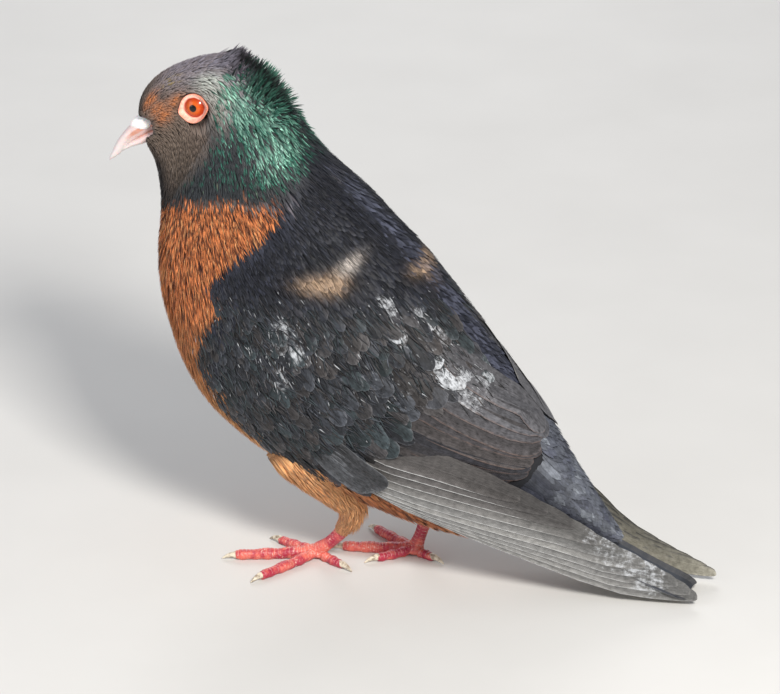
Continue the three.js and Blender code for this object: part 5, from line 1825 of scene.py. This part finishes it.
def cere_lobes(name):
    """An oval tilted with the bill, pinched by a groove along the middle, narrower in front."""
    a, b = ring_grid(np.linspace(0, math.pi, 60)[1:-1], 96, 0)
    x, y, z = np.cos(a), np.sin(a) * np.sin(b), np.sin(a) * np.cos(b)
    groove = 1 - 0.24 * np.exp(-(y * CERE["wide"]) ** 2) * smooth(0, 0.5, z)
    wrinkle = 1 + 0.01 * np.sin(14 * b + 5 * x) * np.sin(9 * a)
    y = np.sign(y) * np.abs(y) ** 0.8
    x, y, z = x * CERE["long"], y * CERE["wide"] * (0.86 + 0.2 * x), z * CERE["high"] * groove
    x, y, z = x * wrinkle, y * wrinkle, z * wrinkle
    c, s = math.cos(CERE["tilt"]), math.sin(CERE["tilt"])
    point = np.stack([CERE["x"] + x * c - z * s, y, CERE["z"] + x * s + z * c], -1)
    return write_mesh(name, *closed_tube(point))


def cere_material():
    """Powdery white skin with pinkish hollows and a grain finer than a millimetre."""
    material, t = new_material("cere_skin")
    cloud = t.noise(t.place(), 330.0, 4.0, 0.6)
    grain = t.noise(t.place(), 1500.0, 2.0, 0.6)
    colour = t.mix(t.step(cloud, 0.42, 0.72), paint(253, 250, 248), paint(240, 222, 218))
    t.surface({"Base Color": colour, "Roughness": 0.6, "Subsurface Weight": 0.2,
               "Subsurface Scale": 0.0015,
               "Normal": t.relief(t.plus(cloud, t.times(grain, 0.4)), 0.3)})
    return material


finish_piece(cere_lobes("cere_lobes"), cere_material(), "cere", "cere")

# %% [markdown]
# ## Feet
#
# A pigeon's shank and toes are covered with red scales: a row of wide shields, the scutes, along
# the top, small round scales at the sides, and soft pads below that rest on the floor. Each toe is
# a tube whose radius carries the scutes, and whose under side is cut flat at the floor.

# %% Scaled tubes
CLAW_LENGTH, CLAW_RADIUS = 6.5, 1.45
SOLE = 0.45  # how much of a toe's radius is cut off at the floor
PLUMP = 1.1  # how much thicker a toe is here than in the solids


def scaled_tube(rows, rings, scute, floor=True):
    """tube(rows) with radius * (1 + scutes above + scales round + pads below), kept above z = 0.

    Scutes are a rounded saw along the limb: its rise is slow and its fall at the joint is quick."""
    surface = tube(rows)
    a, b = ring_grid(np.linspace(0, len(rows) - 1, rings), 28)
    point, _, _, normal = frame_of(surface, a, b)
    centre = between(np.asarray(rows, float), a)[..., :3]
    spine = np.linalg.norm(np.diff(centre[:, 0], axis=0), axis=-1)
    run = np.concatenate([[0], np.cumsum(spine)])[:, None] + 0 * a
    phase = run / scute % 1
    saw = smooth(0, 0.35, phase) * smooth(1.0, 0.86, phase)
    above = smooth(-0.1, 0.5, normal[..., 2] if floor else np.abs(normal[..., 0]))
    small = np.sin(run / scute * 2 * math.pi * 1.6 + 2 * b) * np.sin(6 * b)
    pads = smooth(0.2, 0.8, -normal[..., 2]) * np.sin(run / (3.2 * scute) * 2 * math.pi)
    relief = 0.2 * saw * above + 0.07 * small * (1 - above) + 0.16 * pads * floor
    point = point + normal * relief[..., None]
    end = len(rows) - 1
    cap = np.sqrt(np.clip(1 - ((a - (end - 0.12)) / 0.12).clip(0, 1) ** 2, 0.02, 1))
    point = centre + (point - centre) * cap[..., None]
    if floor:
        point[..., 2] = np.maximum(point[..., 2], 0.02)
    part = np.concatenate([channels(saw * above, above), [[0, 0, 0, 1], [0, 0, 0, 1]]])
    return *closed_tube(point), part


def joined(name, shapes):
    """Several closed shapes in one mesh, with their attributes."""
    return write_mesh(name, *gather(shapes), {"part": np.concatenate([shape[3] for shape in shapes])})


def toe_line(foot, tip, radius, lift):
    """Stations of a toe from the middle of the foot, PLUMP times as thick as the solid one, and
    of its claw. Its root is lift above the floor."""
    root = np.array(foot, float)
    ahead = np.array(tip, float) - root
    reach = np.linalg.norm(ahead)
    ahead = ahead / reach
    end = reach - CLAW_LENGTH
    r = radius * PLUMP
    rest = r - SOLE

    def at(distance, z, thick):
        return [*(root + ahead * distance), z, thick]

    knuckles = [at(-1.5, lift * 0.9, r * 0.9), at(2.5, lift, r * 1.02),
                at(0.18 * end, 0.6 * lift + 0.4 * rest, r * 0.9),
                at(0.34 * end, 0.3 * lift + 0.7 * rest, r * 1.03), at(0.48 * end, rest, r * 0.88),
                at(0.62 * end, rest * 1.05, r * 1.02), at(0.78 * end, rest * 0.95, r * 0.85),
                at(end - 0.9 * r, rest * 0.98, 0.88 * r), at(end + 0.3, rest * 0.95, 0.66 * r)]
    claw = [at(end - 1.4, 1.95, CLAW_RADIUS), at(end + 0.6, 2.15, CLAW_RADIUS), at(end + 2.4, 2.05, 1.1),
            at(end + 4.4, 1.45, 0.72), at(reach - 0.2, 0.5, 0.16)]
    return knuckles, claw


def foot_material():
    """Scales mixed by noise between a shaded magenta-red and a lit orange-pink: partly real variation,
    partly painted light and shade; pale in the folds and where they flake, with some dirt.
    """
    material, t = new_material("foot_scales")
    saw, above, _ = t.split(t.attribute("part")["Vector"])
    cloud, broad = t.noise(t.place(), 260.0, 4.0, 0.6), t.noise(t.place(), 110.0, 2.0)
    grain, worn = t.noise(t.place(), 1200.0, 3.0, 0.6), t.noise(t.place(), 130.0, 2.0)
    cells = t.cells(900.0)
    pale, dirt = paint(240, 212, 200), paint(104, 76, 66)
    # Painted light and shade: a shaded magenta-red and a lit orange-pink of the same scales, mixed by noise.
    tone_and_painted_light = t.plus(t.times(cloud, 0.5), t.times(broad, 0.5))
    colour = t.mix(t.step(tone_and_painted_light, 0.42, 0.58), paint(172, 40, 66), paint(220, 108, 94))
    seam = t.times(t.step(saw, 0.02, 0.4, 1.0, 0.0), t.step(above, 0.3, 0.8))
    colour = t.mix(t.times(seam, 0.4), colour, pale)
    flake = t.times(t.step(grain, 0.52, 0.7), t.step(cells, 0.2, 0.55))
    flake = t.times(flake, t.step(worn, 0.42, 0.6, 0.25, 1.0))
    colour = t.mix(t.times(flake, 0.75), colour, pale)
    colour = t.mix(t.times(t.step(cloud, 0.58, 0.75), 0.35), colour, dirt)
    height = t.plus(t.times(cells, -0.7), t.times(grain, 0.3))
    t.surface({"Base Color": colour, "Roughness": 0.45, "Subsurface Weight": 0.08,
               "Subsurface Scale": 0.002, "Normal": t.relief(height, 0.4)})
    return material


def claw_material():
    """Worn horn: pale with darker streaks."""
    material, t = new_material("claw_horn")
    streak = t.noise(t.place(), 500.0, 3.0, 0.6)
    colour = t.mix(t.step(streak, 0.4, 0.7), paint(222, 212, 190), paint(140, 122, 104))
    t.surface({"Base Color": colour, "Roughness": 0.35, "Normal": t.relief(streak, 0.2)})
    return material


# %% Both feet
FOOT_FINISH, CLAW_FINISH = foot_material(), claw_material()
for side_name, leg in LEGS.items():
    foot = leg["foot"]
    ball = [[foot[0] - 0.3, foot[1], 5.6, 2.6], [*foot, 4.2, 3.4], [*foot, 2.2, 4.0], [*foot, 0.6, 2.6]]
    ankle = leg["thigh"][-2:] + leg["shank"][1:]
    shank_rows = [[*row[:3], row[3] * 0.92] for row in ankle]
    shapes = [scaled_tube(shank_rows, 90, 1.7, floor=False), scaled_tube(ball, 24, 1.6, floor=False)]
    claws = []
    names = [f"shank_{side_name}", f"foot_{side_name}"]
    for toe_name, tip in leg["toes"].items():
        knuckles, claw = toe_line(foot, tip, *TOE_SIZES[toe_name])
        shapes.append(scaled_tube(knuckles, 110, 1.75))
        claws.append(scaled_tube(claw, 40, 60.0))
        names.append(f"toe_{side_name}_{toe_name}")
    finish_piece(joined(f"scaled_foot_{side_name}", shapes), FOOT_FINISH, "scute", *names)
    finish_piece(joined(f"claws_{side_name}", claws), CLAW_FINISH, "claw",
                 *(f"claw_{side_name}_{toe_name}" for toe_name in leg["toes"]))

# %% [markdown]
# ## Floor, light and camera
#
# A pale floor, a broad soft light from the right that models the feathers, a weaker one from the
# left and a pale sky. The camera stands well back with a long lens, so that near and far wing
# keep their sizes.

# %% Floor
floor_mesh = bpy.data.meshes.new("floor")
floor_mesh.from_pydata([(-3, -3, 0), (3, -3, 0), (3, 3, 0), (-3, 3, 0)], [], [(0, 1, 2, 3)])
floor = add_object("floor", floor_mesh)
floor_finish, t = new_material("floor_finish")
cloudy = t.noise(t.place(), 14.0, 3.0)
t.surface({"Base Color": t.mix(cloudy, (0.62, 0.61, 0.59, 1), (0.68, 0.67, 0.65, 1)), "Roughness": 0.8})
floor_mesh.materials.append(floor_finish)


# %% Lights
def aimed(name, data, where, target):
    """An object at a place in bird millimetres, with its -Z axis turned to a target."""
    made = add_object(name, data)
    made.location = to_frame(where)
    aim = Vector(to_frame(target) - to_frame(where))
    made.rotation_euler = aim.to_track_quat("-Z", "Y").to_euler()
    return made


BODY_MIDDLE = (20, 0, 110)
LIGHTS = {  # place, size in metres, power in watts, colour
    "key": ((650, -900, 1000), 0.3, 24.0, (1.0, 0.97, 0.92)),
    "fill": ((-900, -700, 500), 0.8, 3.5, (0.9, 0.94, 1.0)),
    "rim": ((-300, 1000, 800), 0.6, 5.0, (1.0, 1.0, 1.0)),
}
for name, (where, size, power, colour) in LIGHTS.items():
    data = bpy.data.lights.new(name, "AREA")
    data.size, data.energy, data.color = size, power, colour
    aimed(name, data, where, BODY_MIDDLE)
world = bpy.data.worlds.new("pale_sky")
bpy.context.scene.world = world
world.use_nodes = True
sky = world.node_tree.nodes["Background"].inputs
sky["Color"].default_value = (0.9, 0.93, 1.0, 1)
sky["Strength"].default_value = 0.4

# %% Camera
CAMERA_AT, CAMERA_TO = (534.700, -1756.313, 916.125), (31.085, 0.0, 102.651)
camera_data = bpy.data.cameras.new("camera")
camera_data.lens, camera_data.sensor_width, camera_data.clip_end = 212.3, 36.0, 20.0
camera = aimed("camera", camera_data, CAMERA_AT, CAMERA_TO)
bpy.context.scene.camera = camera
bpy.context.scene.view_settings.view_transform = "Standard"

# %% The end
bpy.context.view_layer.update()
